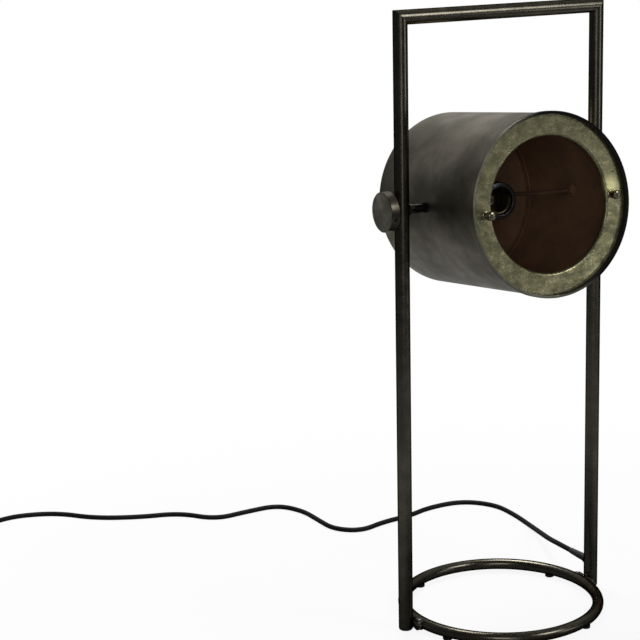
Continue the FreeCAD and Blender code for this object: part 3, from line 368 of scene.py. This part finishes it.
def matt(material, level, edge=None):
    """Set a material's mirror level, and the tint of its reflections near the outline."""
    shader = next(n for n in material.node_tree.nodes if n.type == "BSDF_PRINCIPLED")
    shader.inputs["Specular IOR Level"].default_value = level
    if edge is not None:
        shader.inputs["Specular Tint"].default_value = (*edge, 1)


def drum_place(tree, place):
    """Distance from the drum's axis and distance along it, behind the pivot."""
    offset = offset_from(tree, place, DRUM_CENTRE)
    return distance_from_axis(tree, offset, DRUM_AXIS), reach_along(tree, offset, DRUM_AXIS)


def inside_drum(tree, radius, along):
    """1 on surfaces inside the drum and in front of its back plate."""
    return product(tree, within(tree, radius, DRUM_BORE_R), within(tree, along, PLATE_FRONT))


def inner_gloss(tree, shader, inside, outer_roughness):
    """Bare metal outside and dull lacquer inside the drum."""
    tree.links.new(spread(tree, inside, 0, 1, 1.0, 0.0), shader.inputs["Metallic"])
    gloss = mix(tree, inside, outer_roughness, (LACQUER_ROUGHNESS,) * 3)
    tree.links.new(gloss, shader.inputs["Roughness"])


def drum_finish(name, tones, inner_low, inner_high, shade_side=None):
    """Dark aged steel outside and a lacquer of two tones inside, with painted shade, black, in the
    recess in front of the ring.

    The side argument is the direction towards which the steel is painted black, as shade.
    """
    material, tree, shader, place = new_material(name)
    radius, along = drum_place(tree, place)
    patches = noise(tree, place, 15.0, detail=8.0, roughness=0.66)
    clouds = noise(tree, place, 42.0, detail=5.0, roughness=0.6)
    grain = noise(tree, place, 1300.0, detail=3.0, roughness=0.6)
    scratches = noise(tree, place, 160.0, detail=5.0, roughness=0.7, stretch=(1.0, 0.12, 1.0))
    steel = ramp(tree, patches, tones)
    steel = mix(tree, spread(tree, clouds, 0.42, 0.70, to_high=0.45), steel, tones[0][1])
    steel = mix(tree, spread(tree, grain, 0.45, 0.75, to_high=0.25), steel, STEEL_WORN)
    steel = mix(tree, spread(tree, scratches, 0.60, 0.72, to_high=0.30), steel, STEEL_WORN)
    # painted shade: the rim darkens to black towards the given side
    if shade_side is not None:
        aside = reach_along(tree, offset_from(tree, place, DRUM_CENTRE), shade_side)
        rim_shade = spread(tree, aside, -0.3 * DRUM_BORE_R, 0.3 * DRUM_BORE_R)
        steel = mix(tree, rim_shade, steel, RIM_PAINTED_SHADE)
    lacquer = ramp(tree, clouds, [(0.35, inner_low), (0.65, inner_high)])
    # painted shade: black inside the recess in front of the ring
    lacquer = mix(tree, within(tree, along, RING_BACK), lacquer, RIM_PAINTED_SHADE)
    inside = inside_drum(tree, radius, along)
    tree.links.new(mix(tree, inside, steel, lacquer), shader.inputs["Base Color"])
    inner_gloss(tree, shader, inside, spread(tree, clouds, 0.3, 0.7, 0.32, 0.46))
    bump(tree, shader, mix(tree, 0.35, clouds, grain), depth=0.12 * MM)
    return material


def oxide_finish(name):
    """Black oxide, oversprayed with the drum's lacquer where the piece is inside the drum."""
    material, tree, shader, place = new_material(name)
    inside = inside_drum(tree, *drum_place(tree, place))
    patches = noise(tree, place, 140.0, detail=5.0, roughness=0.6)
    grain = noise(tree, place, 1100.0, detail=3.0, roughness=0.6)
    oxide = ramp(tree, patches, OXIDE_TONES)
    lacquer = ramp(tree, patches, [(0.35, LACQUER_LOW), (0.65, LACQUER_HIGH)])
    tree.links.new(mix(tree, inside, oxide, lacquer), shader.inputs["Base Color"])
    inner_gloss(tree, shader, inside, spread(tree, patches, 0.3, 0.7, 0.20, 0.34))
    bump(tree, shader, grain, depth=0.06 * MM)
    return material


def patina_brass(name):
    """Aged brass sheet: olive patina in blotches and streaks, with brighter worn spots.

    It is painted darker towards its shade side, as shade, and carries a painted highlight above the
    right-hand ring screw.
    """
    material, tree, shader, place = new_material(name)
    blotches = noise(tree, place, 75.0, detail=8.0, roughness=0.70)
    streaks = noise(tree, place, 210.0, detail=6.0, roughness=0.72, stretch=(0.35, 1.0, 1.0))
    specks = noise(tree, place, 620.0, detail=3.0, roughness=0.6)
    colour = ramp(tree, blotches, BRASS_TONES)
    colour = mix(tree, spread(tree, streaks, 0.46, 0.66, to_high=0.75), colour, BRASS_PATINA)
    colour = mix(tree, spread(tree, specks, 0.56, 0.70, to_high=0.45), colour, BRASS_WORN)
    # painted shade towards one side
    aside = reach_along(tree, offset_from(tree, place, DRUM_CENTRE), BRASS_SHADE_SIDE)
    brass_shade = spread(tree, aside, 0.0, BRASS_SHADE_REACH, to_high=0.38)
    colour = mix(tree, brass_shade, colour, BRASS_PATINA)
    # painted highlight near the right-hand ring screw
    away = length_of(tree, offset_from(tree, place, BRASS_GLINT_PLACE))
    glint_share = product(tree, spread(tree, away, BRASS_GLINT_NEAR, BRASS_GLINT_FAR, 1.0, 0.0),
                     spread(tree, streaks, 0.38, 0.56, 0.35, 0.9))
    colour = mix(tree, glint_share, colour, BRASS_GLINT)
    tree.links.new(colour, shader.inputs["Base Color"])
    shader.inputs["Metallic"].default_value = 0.75
    tree.links.new(spread(tree, streaks, 0.35, 0.65, 0.22, 0.38), shader.inputs["Roughness"])
    bump(tree, shader, mix(tree, 0.5, streaks, specks), depth=0.16 * MM)
    return material


def turned_finish(name, tones, axis_point, rim_radius, rim_shade_colour):
    """Turned metal with fine rings about the X axis through a point, and painted shade on its rim.
    """
    material, tree, shader, place = new_material(name)
    offset = offset_from(tree, place, axis_point)
    rings = tree.nodes.new("ShaderNodeTexWave")
    rings.wave_type = "RINGS"
    rings.rings_direction = "X"
    # at scale 1 the rings lie pi / 10 apart
    rings.inputs["Scale"].default_value = math.pi / (10 * KNOB_RING_SPACING)
    rings.inputs["Distortion"].default_value = 1.5
    rings.inputs["Detail"].default_value = 2.0
    tree.links.new(offset, rings.inputs["Vector"])
    patches = noise(tree, place, 90.0, detail=6.0, roughness=0.62)
    colour = mix(tree, spread(tree, rings.outputs["Fac"], 0.3, 0.9, to_high=0.3),
                 ramp(tree, patches, tones), tones[-1][1])
    radius = distance_from_axis(tree, offset, (1, 0, 0))
    # painted shade on the rim, beyond rim_radius
    colour = mix(tree, within(tree, radius, rim_radius), rim_shade_colour, colour)
    tree.links.new(colour, shader.inputs["Base Color"])
    shader.inputs["Metallic"].default_value = 1.0
    tree.links.new(spread(tree, patches, 0.3, 0.7, 0.30, 0.44), shader.inputs["Roughness"])
    bump(tree, shader, rings.outputs["Fac"], depth=0.03 * MM)
    return material


# ---- materials ---------------------------------------------------------------------------
frame_steel = mottled("frame_lacquer", FRAME_TONES, 1.0, (0.20, 0.30), patch=55.0, grain=260.0,
                      depth=0.0)
matt(frame_steel, 0.5, FRAME_EDGE_TINT)
drum_steel = drum_finish("drum_finish", STEEL_TONES, LACQUER_LOW, LACQUER_HIGH)
# painted shade: the rim is black inside and towards its right side
rim_steel_painted_shade = drum_finish("rim_finish_painted_shade", RIM_TONES, RIM_PAINTED_SHADE, RIM_PAINTED_SHADE, RIM_SHADE_SIDE)
face_brass = patina_brass("aged_brass")
knob_steel = turned_finish("turned_steel", KNOB_TONES, PIVOT, KNOB_R - 1.0 * MM, KNOB_RIM_SHADE)
black_steel = oxide_finish("black_oxide")
weld_steel = mottled("weld_metal", WELD_TONES, 1.0, (0.26, 0.42), patch=240.0, grain=1400.0,
                     depth=0.05 * MM)
ring_screw_steel = mottled("ring_screw_steel", RING_SCREW_TONES, 1.0, (0.20, 0.30), patch=260.0)
shell_brass_painted_shade = mottled("shell_brass_painted_shade", SHELL_SHADE_TONES, 1.0, (0.30, 0.45), patch=160.0)
fitting_brass = mottled("dull_brass", FITTING_BRASS_TONES, 1.0, (0.28, 0.42), patch=80.0)
fitting_steel = mottled("blackened_steel", FITTING_STEEL_TONES, 1.0, (0.25, 0.4), patch=80.0)
flex_sheath = mottled("flex_braid", FLEX_TONES, 0.0, (0.8, 0.95), patch=300.0)
holder_plastic = mottled("holder_moulding", HOLDER_TONES, 0.0, (0.24, 0.34))
holder_ceramic = mottled("glazed_ceramic", CERAMIC_TONES, 0.0, (0.2, 0.3))
black_plastic = mottled("black_moulding", PLASTIC_TONES, 0.0, (0.38, 0.5))
relief_rubber = mottled("relief_rubber", RELIEF_TONES, 0.0, (0.4, 0.55))
cord_rubber = mottled("cord_sheath", CORD_TONES, 0.0, (0.5, 0.65))
matt(cord_rubber, 0.22)
cord.data.materials.append(cord_rubber)

by_slot = {
    "frame_steel": frame_steel, "drum_steel": drum_steel, "face_brass": face_brass,
    "fitting_brass": fitting_brass, "fitting_steel": fitting_steel,
    "holder_plastic": holder_plastic, "holder_ceramic": holder_ceramic,
    "black_plastic": black_plastic, "cord_rubber": cord_rubber,
}
by_node = {
    "front_collar": rim_steel_painted_shade, "knob_left": knob_steel, "knob_right": knob_steel,
    "knob_set_screws": black_steel, "ring_welds": weld_steel, "drum_flex": flex_sheath,
    "screw_shell": shell_brass_painted_shade, "pivot_rod": black_steel, "pivot_pipe": black_steel,
    "pivot_nuts_left": black_steel, "pivot_nuts_right": black_steel,
    "face_ring_screws": ring_screw_steel, "strain_relief": relief_rubber,
}


def material_of(node):
    """A node's own material, or that of its slot."""
    return by_node.get(node, by_slot[SLOT_OF[node]])


for node in SLOT_OF:
    nodes[node].data.materials.clear()
    nodes[node].data.materials.append(material_of(node))


# ---- mesh tools, in millimetres ----------------------------------------------------------
SHARP_ANGLE = math.radians(38)
THREAD_STEPS = 6  # points of a thread's outline along one pitch
NUT_CHAMFER = 0.5  # height lost per millimetre outside the face's circle
TINY = 1e-6
AT_DRUM_AXIS = Matrix.Translation((0, 0, -DRUM_DROP / MM))  # down from the pivot


def along_axis(start, direction):
    """Place whose Z axis starts at a point and runs along a direction."""
    turn = Vector(direction).to_track_quat("Z", "Y").to_matrix().to_4x4()
    return Matrix.Translation(start) @ turn


def rounded(corners, steps=5):
    """Closed profile of (radius, along, bend) corners with each corner bent to its radius."""
    points = []
    count = len(corners)
    for i in range(count):
        before = Vector(corners[i - 1][:2])
        corner = Vector(corners[i][:2])
        after = Vector(corners[(i + 1) % count][:2])
        bend = corners[i][2]
        if bend == 0:
            points.append(tuple(corner))
            continue
        back = (before - corner).normalized()
        ahead = (after - corner).normalized()
        half = back.angle(ahead) / 2
        setback = bend / math.tan(half)
        centre = corner + (back + ahead).normalized() * bend / math.sin(half)
        first = corner + back * setback - centre
        last = corner + ahead * setback - centre
        points += [tuple(centre + first.slerp(last, k / steps)) for k in range(steps + 1)]
    return points


def turned(profile, segments=64, radius_at=None):
    """Solid of revolution about Z of a closed profile of (radius, along).

    radius_at(radius, along, turn) may change each point's radius, for threads and knurls.
    """
    mesh = bmesh.new()
    loops = []
    for radius, along in profile:
        if radius < TINY:
            loops.append([mesh.verts.new((0, 0, along))] * segments)
            continue
        loop = []
        for i in range(segments):
            share = i / segments
            reach = radius if radius_at is None else radius_at(radius, along, share)
            angle = 2 * math.pi * share
            loop.append(mesh.verts.new((reach * math.cos(angle), reach * math.sin(angle), along)))
        loops.append(loop)
    for low, high in zip(loops, loops[1:] + loops[:1]):
        for i in range(segments):
            j = (i + 1) % segments
            corners = list(dict.fromkeys((low[i], low[j], high[j], high[i])))
            if len(corners) > 2:
                mesh.faces.new(corners)
    return mesh


def threaded(outer_r, bore_r, length, pitch):
    """Threaded rod, or pipe where it has a bore, about Z from 0 to its length."""
    bevel = 0.5
    depth = 0.35 * pitch
    count = int((length - 2 * bevel) / pitch * THREAD_STEPS)
    wall = [(outer_r, bevel + (length - 2 * bevel) * k / count) for k in range(count + 1)]
    profile = ([(bore_r, length), (bore_r, 0), (outer_r - bevel, 0)] + wall
               + [(outer_r - bevel, length)])

    def radius_at(radius, along, share):
        if radius <= bore_r + TINY or radius < outer_r - depth:
            return radius
        wave = abs(2 * ((along / pitch - share) % 1) - 1)
        return radius - depth * min(1.0, 1.25 * wave)

    return turned(profile, 48, radius_at)


def nut(flats, thick, bore_r):
    """Hexagon nut about Z from 0 to thick, with chamfered corners and a chamfered bore."""
    face_r = flats / 2 - 0.15
    mouth_r = bore_r + 0.3

    def hexagon(radius, along, share):
        if radius < face_r + 0.05:
            return radius
        angle = (share * 6 % 1 - 0.5) * math.pi / 3
        return flats / 2 / math.cos(angle)

    profile = [(mouth_r, 0), (face_r, 0), (flats, 0.01), (flats, thick - 0.01),
               (face_r, thick), (mouth_r, thick), (bore_r, thick - 0.4), (bore_r, 0.4)]
    mesh = turned(profile, 72, hexagon)
    for vert in mesh.verts:
        reach = math.hypot(vert.co.x, vert.co.y)
        if reach > face_r + 0.05:
            lift = (reach - face_r) * NUT_CHAMFER
            vert.co.z = lift if vert.co.z < thick / 2 else thick - lift
    return mesh


def cut_at(mesh, point, normal):
    """Cut a mesh's faces along a plane, keeping both sides."""
    whole = mesh.verts[:] + mesh.edges[:] + mesh.faces[:]
    bmesh.ops.bisect_plane(mesh, geom=whole, dist=1e-5, plane_co=point, plane_no=normal)


def cut_slot(mesh, width, floor):
    """Straight slot across the top of a mesh about Z, down to a height."""
    wall = 0.03
    for edge in (width / 2, width / 2 - wall):
        for side in (-1, 1):
            cut_at(mesh, (0, side * edge, 0), (0, 1, 0))
    for vert in mesh.verts:
        if abs(vert.co.y) < width / 2 - wall / 2 and vert.co.z > floor:
            vert.co.z = floor


def piece_from(name, parts, node, place):
    """One piece from (mesh, place) parts, which replaces a CAD node."""
    data = bpy.data.meshes.new(name)
    whole = bmesh.new()
    for mesh, part_place in parts:
        mesh.transform(place @ part_place)
        bmesh.ops.recalc_face_normals(mesh, faces=mesh.faces[:])
        if mesh.calc_volume(signed=True) < 0:
            bmesh.ops.reverse_faces(mesh, faces=mesh.faces[:])
        part = bpy.data.meshes.new("part")
        mesh.to_mesh(part)
        mesh.free()
        whole.from_mesh(part)
        bpy.data.meshes.remove(part)
    for face in whole.faces:
        face.smooth = True
    whole.to_mesh(data)
    whole.free()
    data.set_sharp_from_angle(angle=SHARP_ANGLE)
    data.materials.append(material_of(node))
    piece = bpy.data.objects.new(name, data)
    bpy.context.scene.collection.objects.link(piece)
    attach(piece, BODY_OF[node])
    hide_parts(node)
    return piece


# ---- screws of the brass ring ------------------------------------------------------------
THUMB_HEAD_R = 4.7
THUMB_OUTLINE = [  # radius and height over the seat: shank, flange, neck and head
    (0, -6.5), (1.6, -6.5), (2.0, -6.0), (2.0, 0),
    (4.3, 0), (4.6, 0.3), (4.6, 1.1), (4.2, 1.5),
    (3.4, 1.6), (3.1, 2.0), (3.1, 4.4), (3.4, 4.8),
    (4.1, 5.0), (4.5, 5.3), (THUMB_HEAD_R, 5.6), (THUMB_HEAD_R, 10.0), (4.45, 10.4),
]
THUMB_DOME_R, THUMB_DOME_LOW, THUMB_DOME_RISE = 4.2, 10.6, 1.4
THUMB_SLOT, THUMB_SLOT_FLOOR = 1.2, 10.9
THUMB_KNURLS, THUMB_KNURL_DEPTH = 24, 0.30
RING_SCREW_R = 74.62
RING_SCREW_TURN = math.radians(-2.4)  # of the pair about the drum's axis


def thumb_screw():
    """Thumb screw with a flange, a neck and a knurled, slotted head; its seat is at 0."""
    def knurl(radius, along, share):
        if radius < THUMB_HEAD_R - 0.01:
            return radius
        return radius - THUMB_KNURL_DEPTH * abs(2 * (share * THUMB_KNURLS % 1) - 1)

    dome = [(THUMB_DOME_R * math.cos(math.radians(angle)),
             THUMB_DOME_LOW + THUMB_DOME_RISE * math.sin(math.radians(angle)))
            for angle in range(0, 90, 12)]
    tip = (0, THUMB_DOME_LOW + THUMB_DOME_RISE)
    mesh = turned(THUMB_OUTLINE + dome + [tip], 96, knurl)
    cut_slot(mesh, THUMB_SLOT, THUMB_SLOT_FLOOR)
    return mesh


def ring_screws():
    """The two screws of the brass ring."""
    turn = AT_DRUM_AXIS @ Matrix.Rotation(RING_SCREW_TURN, 4, "Y")
    parts = []
    for side in (-1, 1):
        seat = along_axis((side * RING_SCREW_R, RING_FRONT / MM, 0), (0, -1, 0))
        slot_turn = Matrix.Rotation(math.radians(35 * side), 4, "Z")
        parts.append((thumb_screw(), turn @ seat @ slot_turn))
    piece_from("ring_screws", parts, "face_ring_screws", IN_DRUM)


# ---- stems, knob screws and nuts ---------------------------------------------------------
ROD_R = 3.0
PIPE_R, PIPE_BORE_R = 4.0, 2.8
STEM_PITCH = 1.0
SHOULDER_R, SHOULDER_LENGTH, SHOULDER_START_X = 4.3, 14.2, -108.6
PIPE_SLOT_X = (113.55, 121.55)
SET_SCREW_OUTLINE = [(0, -15), (1.6, -15), (2.0, -14.6), (2.0, -0.9), (1.7, -0.6), (0, -0.6)]
SET_SCREW_SLOT, SET_SCREW_SLOT_FLOOR = 0.7, -1.6
SET_SCREW_DROP = math.radians(14.0)  # below the pivot's level while the drum is at rest
NUT_THICK = 3.2
NUT_OUTER_X = 90.82  # where the nuts outside the drum's wall start


def placed_stem(node, outer_r, bore_r):
    """Threaded stem as long as its CAD node, and its place in the drum's frame."""
    low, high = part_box(node)
    mesh = threaded(outer_r, bore_r, (high.x - low.x) / MM, STEM_PITCH)
    return mesh, along_axis((low.x / MM, 0, 0), (1, 0, 0))


def left_stem():
    """Threaded rod with a smooth shoulder between post and drum."""
    bore_r = ROD_R + 0.05
    shoulder = turned(rounded([(bore_r, 0, 0), (SHOULDER_R, 0, 0.4),
                               (SHOULDER_R, SHOULDER_LENGTH, 0.4),
                               (bore_r, SHOULDER_LENGTH, 0)]))
    parts = [placed_stem("pivot_rod", ROD_R, 0.0),
             (shoulder, along_axis((SHOULDER_START_X, 0, 0), (1, 0, 0)))]
    piece_from("stem_left", parts, "pivot_rod", IN_DRUM)


def right_stem():
    """Threaded pipe, open below inside the post, where the flex comes in."""
    pipe, place = placed_stem("pivot_pipe", PIPE_R, PIPE_BORE_R)
    pipe.transform(place)
    for x in PIPE_SLOT_X:
        cut_at(pipe, (x, 0, 0), (1, 0, 0))
    opened = [face for face in pipe.faces
              if PIPE_SLOT_X[0] < face.calc_center_median().x < PIPE_SLOT_X[1]
              and face.calc_center_median().z < 0]
    bmesh.ops.delete(pipe, geom=opened, context="FACES")
    bmesh.ops.bridge_loops(pipe, edges=[edge for edge in pipe.edges if edge.is_boundary])
    piece_from("stem_right", [(pipe, Matrix.Identity(4))], "pivot_pipe", IN_DRUM)


def knob_screws():
    """Slotted set screws in the knobs' rims, a little below the rims."""
    turn = SET_SCREW_DROP + DRUM_TILT
    outward = Vector((0, -math.cos(turn), -math.sin(turn)))
    middle_x = -(KNOB_LOW.x + KNOB_HIGH.x) / 2 / MM
    slot_turn = Matrix.Rotation(math.radians(50), 4, "Z")
    parts = []
    for side in (-1, 1):
        mesh = turned(SET_SCREW_OUTLINE, 48)
        cut_slot(mesh, SET_SCREW_SLOT, SET_SCREW_SLOT_FLOOR)
        rim = Vector((side * middle_x, 0, 0)) + outward * (KNOB_R / MM)
        parts.append((mesh, along_axis(rim, outward) @ slot_turn))
    piece_from("rim_screws", parts, "knob_set_screws", IN_DRUM)


def stem_nuts(name, node, side, flats, stem_r, inner_x):
    """Pair of nuts that clamps the drum's wall on a stem."""
    bore_r = stem_r + 0.02
    parts = [(nut(flats, NUT_THICK, bore_r), along_axis((side * NUT_OUTER_X, 0, 0), (side, 0, 0))),
             (nut(flats, NUT_THICK, bore_r), along_axis((side * inner_x, 0, 0), (-side, 0, 0)))]
    piece_from(name, parts, node, IN_DRUM)


# ---- lampholder --------------------------------------------------------------------------
BRACKET_NUT_Y, BRACKET_NUT_Z = 86.3, 23.5
LOCK_NUT_Y = 51.5
HOLDER_PLACE = AT_DRUM_AXIS @ along_axis((0, 0, 0), (0, 1, 0))


def bracket_nuts():
    """Nuts of the lampholder's bracket and of its nipple."""
    parts = [(nut(flats=7.0, thick=NUT_THICK, bore_r=2.02),
              AT_DRUM_AXIS @ along_axis((0, BRACKET_NUT_Y, z), (0, -1, 0)))
             for z in (-BRACKET_NUT_Z, BRACKET_NUT_Z)]
    piece_from("foot_nuts", parts, "bracket_nuts", IN_DRUM)
    lock_nut = nut(flats=14.0, thick=3.0, bore_r=5.02)
    place = AT_DRUM_AXIS @ along_axis((0, LOCK_NUT_Y, 0), (0, 1, 0))
    piece_from("lock_nut", [(lock_nut, place)], "nipple_nut", IN_DRUM)


def holder_ring():
    """Front sleeve of the lampholder, with rounded edges and grip ribs round its wall."""
    low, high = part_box("holder_sleeve")
    outer_r = (high.x - low.x) / 2 / MM
    length, wall, mouth_r, lip = 23.9, 4.0, 14.6, 1.5
    ribs, rib_depth, ribs_start, ribs_end = 36, 0.35, 4.0, length - 1.5

    def ribbed(radius, along, share):
        if radius < outer_r - 0.01 or not ribs_start < along < ribs_end:
            return radius
        return radius - rib_depth * (0.5 - 0.5 * math.cos(2 * math.pi * share * ribs))

    corners = [(mouth_r, 0, 0.7), (outer_r, 0, 1.8), (outer_r, ribs_start + 0.01, 0),
               (outer_r, ribs_end - 0.1, 0), (outer_r, length, 0.5),
               (outer_r - wall, length, 0.3), (outer_r - wall, lip + 1.0, 0), (mouth_r, lip, 0)]
    mesh = turned(rounded(corners, 8), 216, ribbed)
    piece_from("holder_ring", [(mesh, HOLDER_PLACE)], "holder_sleeve", IN_DRUM)


def holder_shell():
    """Screw shell with its rolled thread, a rolled rim and a narrower seat."""
    crest_r, sheet, pitch, depth = 13.3, 0.4, 3.62, 1.1
    seat_r, contact_r, rim_r = 11.9, 5.2, 14.2
    front, seat, rear = 3.0, 18.6, 22.0
    first, last = front + 1.4, seat - 0.4
    steps = 60

    def rolled(radius, along, share):
        if abs(radius - crest_r) > sheet + 0.01 or not first < along < last + 0.1:
            return radius
        return radius - depth * (0.5 - 0.5 * math.cos(2 * math.pi * (along / pitch - share)))

    wall = [first + (last - first) * k / steps for k in range(steps + 1)]
    inner = [(crest_r, along) for along in wall]
    outer = [(crest_r + sheet, along) for along in reversed(wall)]
    floor = [(seat_r, seat), (seat_r, rear - sheet), (contact_r, rear - sheet),
             (contact_r, rear), (seat_r + sheet, rear), (seat_r + sheet, seat + sheet)]
    rim = [(rim_r, front + 1.2), (rim_r, front + 0.3), (rim_r - 0.3, front)]
    mesh = turned([(crest_r, front)] + inner + floor + outer + rim, 96, rolled)
    piece_from("holder_shell", [(mesh, HOLDER_PLACE)], "screw_shell", IN_DRUM)


# ---- strain relief and welds -------------------------------------------------------------
RELIEF_START = (POST_X, 18.0, 28.0)
RELIEF_LENGTH, RELIEF_RIBS = 20.0, 7
RELIEF_BORE_R, RELIEF_START_R, RELIEF_END_R = 2.95, 3.95, 3.25
WELD_PLACE = (107.6, 9.6, 7.0)
WELD_REACH = Vector((6.4, 8.4, 6.4))
WELD_LEAN = math.radians(-16)
WELD_RIPPLE, WELD_LUMP = 0.055, 0.16  # shares of the bead's size


def relief_sleeve():
    """Ribbed sleeve that tapers from the grommet to the cord."""
    corners = [(RELIEF_BORE_R, RELIEF_LENGTH), (RELIEF_BORE_R, 0)]
    pitch = RELIEF_LENGTH / RELIEF_RIBS
    for k in range(RELIEF_RIBS):
        reach = RELIEF_START_R + (RELIEF_END_R - RELIEF_START_R) * k / (RELIEF_RIBS - 1)
        waist = RELIEF_BORE_R + (reach - RELIEF_BORE_R) * 0.45
        corners += [(reach, k * pitch), (reach, (k + 0.62) * pitch),
                    (waist, (k + 0.70) * pitch), (waist, (k + 0.94) * pitch)]
    place = along_axis(RELIEF_START, (0, 1, 0))
    return piece_from("relief_sleeve", [(turned(corners, 40), place)], "strain_relief", IN_FRAME)


def lumps(point):
    """Smooth lumps of either sign at a point."""
    return fields.noise(point) + 0.5 * fields.noise(point * 2.3)


def weld_lump(side, front):
    """Lumpy bead with a few overlapping ripples, about its own middle."""
    mesh = bmesh.new()
    bmesh.ops.create_icosphere(mesh, subdivisions=4, radius=1.0)
    for vert in mesh.verts:
        ripple = 1 + WELD_RIPPLE * math.sin(9 * vert.co.z + 2 * vert.co.x)
        lump = WELD_LUMP * lumps(vert.co * 1.7 + Vector((side * 3.1, front * 5.3, 0)))
        vert.co = vert.co * (ripple + lump) * WELD_REACH
    return mesh


def weld_seams():
    """The four beads where the ring meets the posts."""
    parts = []
    for side in (-1, 1):
        for front in (-1, 1):
            place = Matrix.Translation((side * WELD_PLACE[0], front * WELD_PLACE[1], WELD_PLACE[2]))
            lean = Matrix.Rotation(side * front * WELD_LEAN, 4, "Z")
            parts.append((weld_lump(side, front), place @ lean))
    piece_from("weld_seams", parts, "ring_welds", IN_FRAME)


ring_screws()
left_stem()
right_stem()
knob_screws()
holder_ring()
stem_nuts("stem_nuts_left", "pivot_nuts_left", side=-1, flats=10.0, stem_r=ROD_R, inner_x=89.2)
stem_nuts("stem_nuts_right", "pivot_nuts_right", side=1, flats=12.0, stem_r=PIPE_R, inner_x=89.07)
bracket_nuts()
holder_shell()
relief = relief_sleeve()
weld_seams()

# ---- studio ------------------------------------------------------------------------------
FLOOR_HALF = 3.0
FLOOR_DROP = 0.0002
FLOOR_WHITE = (0.85, 0.85, 0.85)
# painted pool of light: floor levels in reflections and bounces, by distance from the lamp
FLOOR_POOL_LEVELS = [(0.06, 0.16), (0.14, 0.40), (0.20, 0.50), (0.33, 0.34), (0.45, 0.12)]
SHADOW_NEAR, SHADOW_FAR = 0.25, 0.8  # where the floor's own shading starts and stops to fade
SKY_MIDDLE = Vector((0.40, 0.68, 0.62)).normalized()
SKY_LEVELS = [(0.0, 0.06), (0.5, 0.08), (0.66, 0.10), (0.84, 0.27), (0.95, 0.36), (1.0, 0.38)]
LAMP_MIDDLE = (0, 0, 0.45)
LIGHTS = [  # name, place, aim, size and power
    ("key_light", (1.2, -2.15, 1.95), LAMP_MIDDLE, 1.0, 23),
    ("back_top_light", (0.2, 1.0, 2.5), (0.15, 0.95, 0), 0.9, 40),
    ("front_light", (-1.4, -2.2, 1.15), LAMP_MIDDLE, 0.9, 8),
    ("fill_light", (1.75, -1.9, 0.30), LAMP_MIDDLE, 0.7, 3.2),
    ("low_light", (-0.85, -2.35, 0.25), LAMP_MIDDLE, 0.5, 1.2),
]


def camera_ray_share(tree):
    """1 where the camera looks straight, 0 in reflections and bounces."""
    return tree.nodes.new("ShaderNodeLightPath").outputs["Is Camera Ray"]


def blended(tree, share, first, second, output_kind):
    """Blend two shaders into a tree's output."""
    blend = tree.nodes.new("ShaderNodeMixShader")
    tree.links.new(share, blend.inputs["Fac"])
    tree.links.new(first.outputs[0], blend.inputs[1])
    tree.links.new(second.outputs[0], blend.inputs[2])
    output = tree.nodes.new(output_kind)
    tree.links.new(blend.outputs[0], output.inputs["Surface"])


def floor_finish():
    """White where the camera looks, with the lamp's soft shadow; elsewhere a painted pool of light
    round the lamp.
    """
    material = bpy.data.materials.new("floor")
    material.use_nodes = True
    tree = material.node_tree
    tree.nodes.clear()
    distance = length_of(tree, tree.nodes.new("ShaderNodeTexCoord").outputs["Object"])
    diffuse = tree.nodes.new("ShaderNodeBsdfDiffuse")
    camera_ray = camera_ray_share(tree)
    # painted pool of light round the lamp, for all but camera rays
    painted_pool = grey_ramp(tree, spread(tree, distance, 0.0, FLOOR_HALF), FLOOR_POOL_LEVELS)
    tree.links.new(mix(tree, camera_ray, painted_pool, FLOOR_WHITE), diffuse.inputs["Color"])
    glow = tree.nodes.new("ShaderNodeEmission")
    glow.inputs["Strength"].default_value = 1.0
    fading = spread(tree, distance, SHADOW_NEAR, SHADOW_FAR, 0.90, 1.0)
    blended(tree, product(tree, camera_ray, fading), diffuse, glow, "ShaderNodeOutputMaterial")
    return material


def studio_floor():
    """Plain floor just under the lamp."""
    mesh = bpy.data.meshes.new("floor")
    corners = [(-FLOOR_HALF, -FLOOR_HALF, 0), (FLOOR_HALF, -FLOOR_HALF, 0),
               (FLOOR_HALF, FLOOR_HALF, 0), (-FLOOR_HALF, FLOOR_HALF, 0)]
    mesh.from_pydata(corners, [], [(0, 1, 2, 3)])
    floor = bpy.data.objects.new("floor", mesh)
    bpy.context.scene.collection.objects.link(floor)
    floor.location.z = -FLOOR_DROP
    mesh.materials.append(floor_finish())


def studio_world():
    """White behind the lamp, and a soft bright patch behind and above it in reflections."""
    world = bpy.data.worlds.new("studio")
    world.use_nodes = True
    bpy.context.scene.world = world
    tree = world.node_tree
    tree.nodes.clear()
    direction = tree.nodes.new("ShaderNodeTexCoord").outputs["Generated"]
    towards = reach_along(tree, direction, SKY_MIDDLE)
    room = tree.nodes.new("ShaderNodeBackground")
    levels = grey_ramp(tree, spread(tree, towards, -1.0, 1.0), SKY_LEVELS)
    tree.links.new(levels, room.inputs["Color"])
    white = tree.nodes.new("ShaderNodeBackground")
    white.inputs["Color"].default_value = (1, 1, 1, 1)
    blended(tree, camera_ray_share(tree), room, white, "ShaderNodeOutputWorld")


def area_light(name, place, aim, size, power):
    """Square soft light at a place, turned towards a point."""
    data = bpy.data.lights.new(name, "AREA")
    data.size = size
    data.energy = power
    light = bpy.data.objects.new(name, data)
    bpy.context.scene.collection.objects.link(light)
    light.location = place
    light.rotation_mode = "QUATERNION"
    light.rotation_quaternion = (Vector(aim) - Vector(place)).to_track_quat("-Z", "Y")


studio_floor()
studio_world()
for light in LIGHTS:
    area_light(*light)

bpy.context.scene.view_settings.view_transform = "Standard"
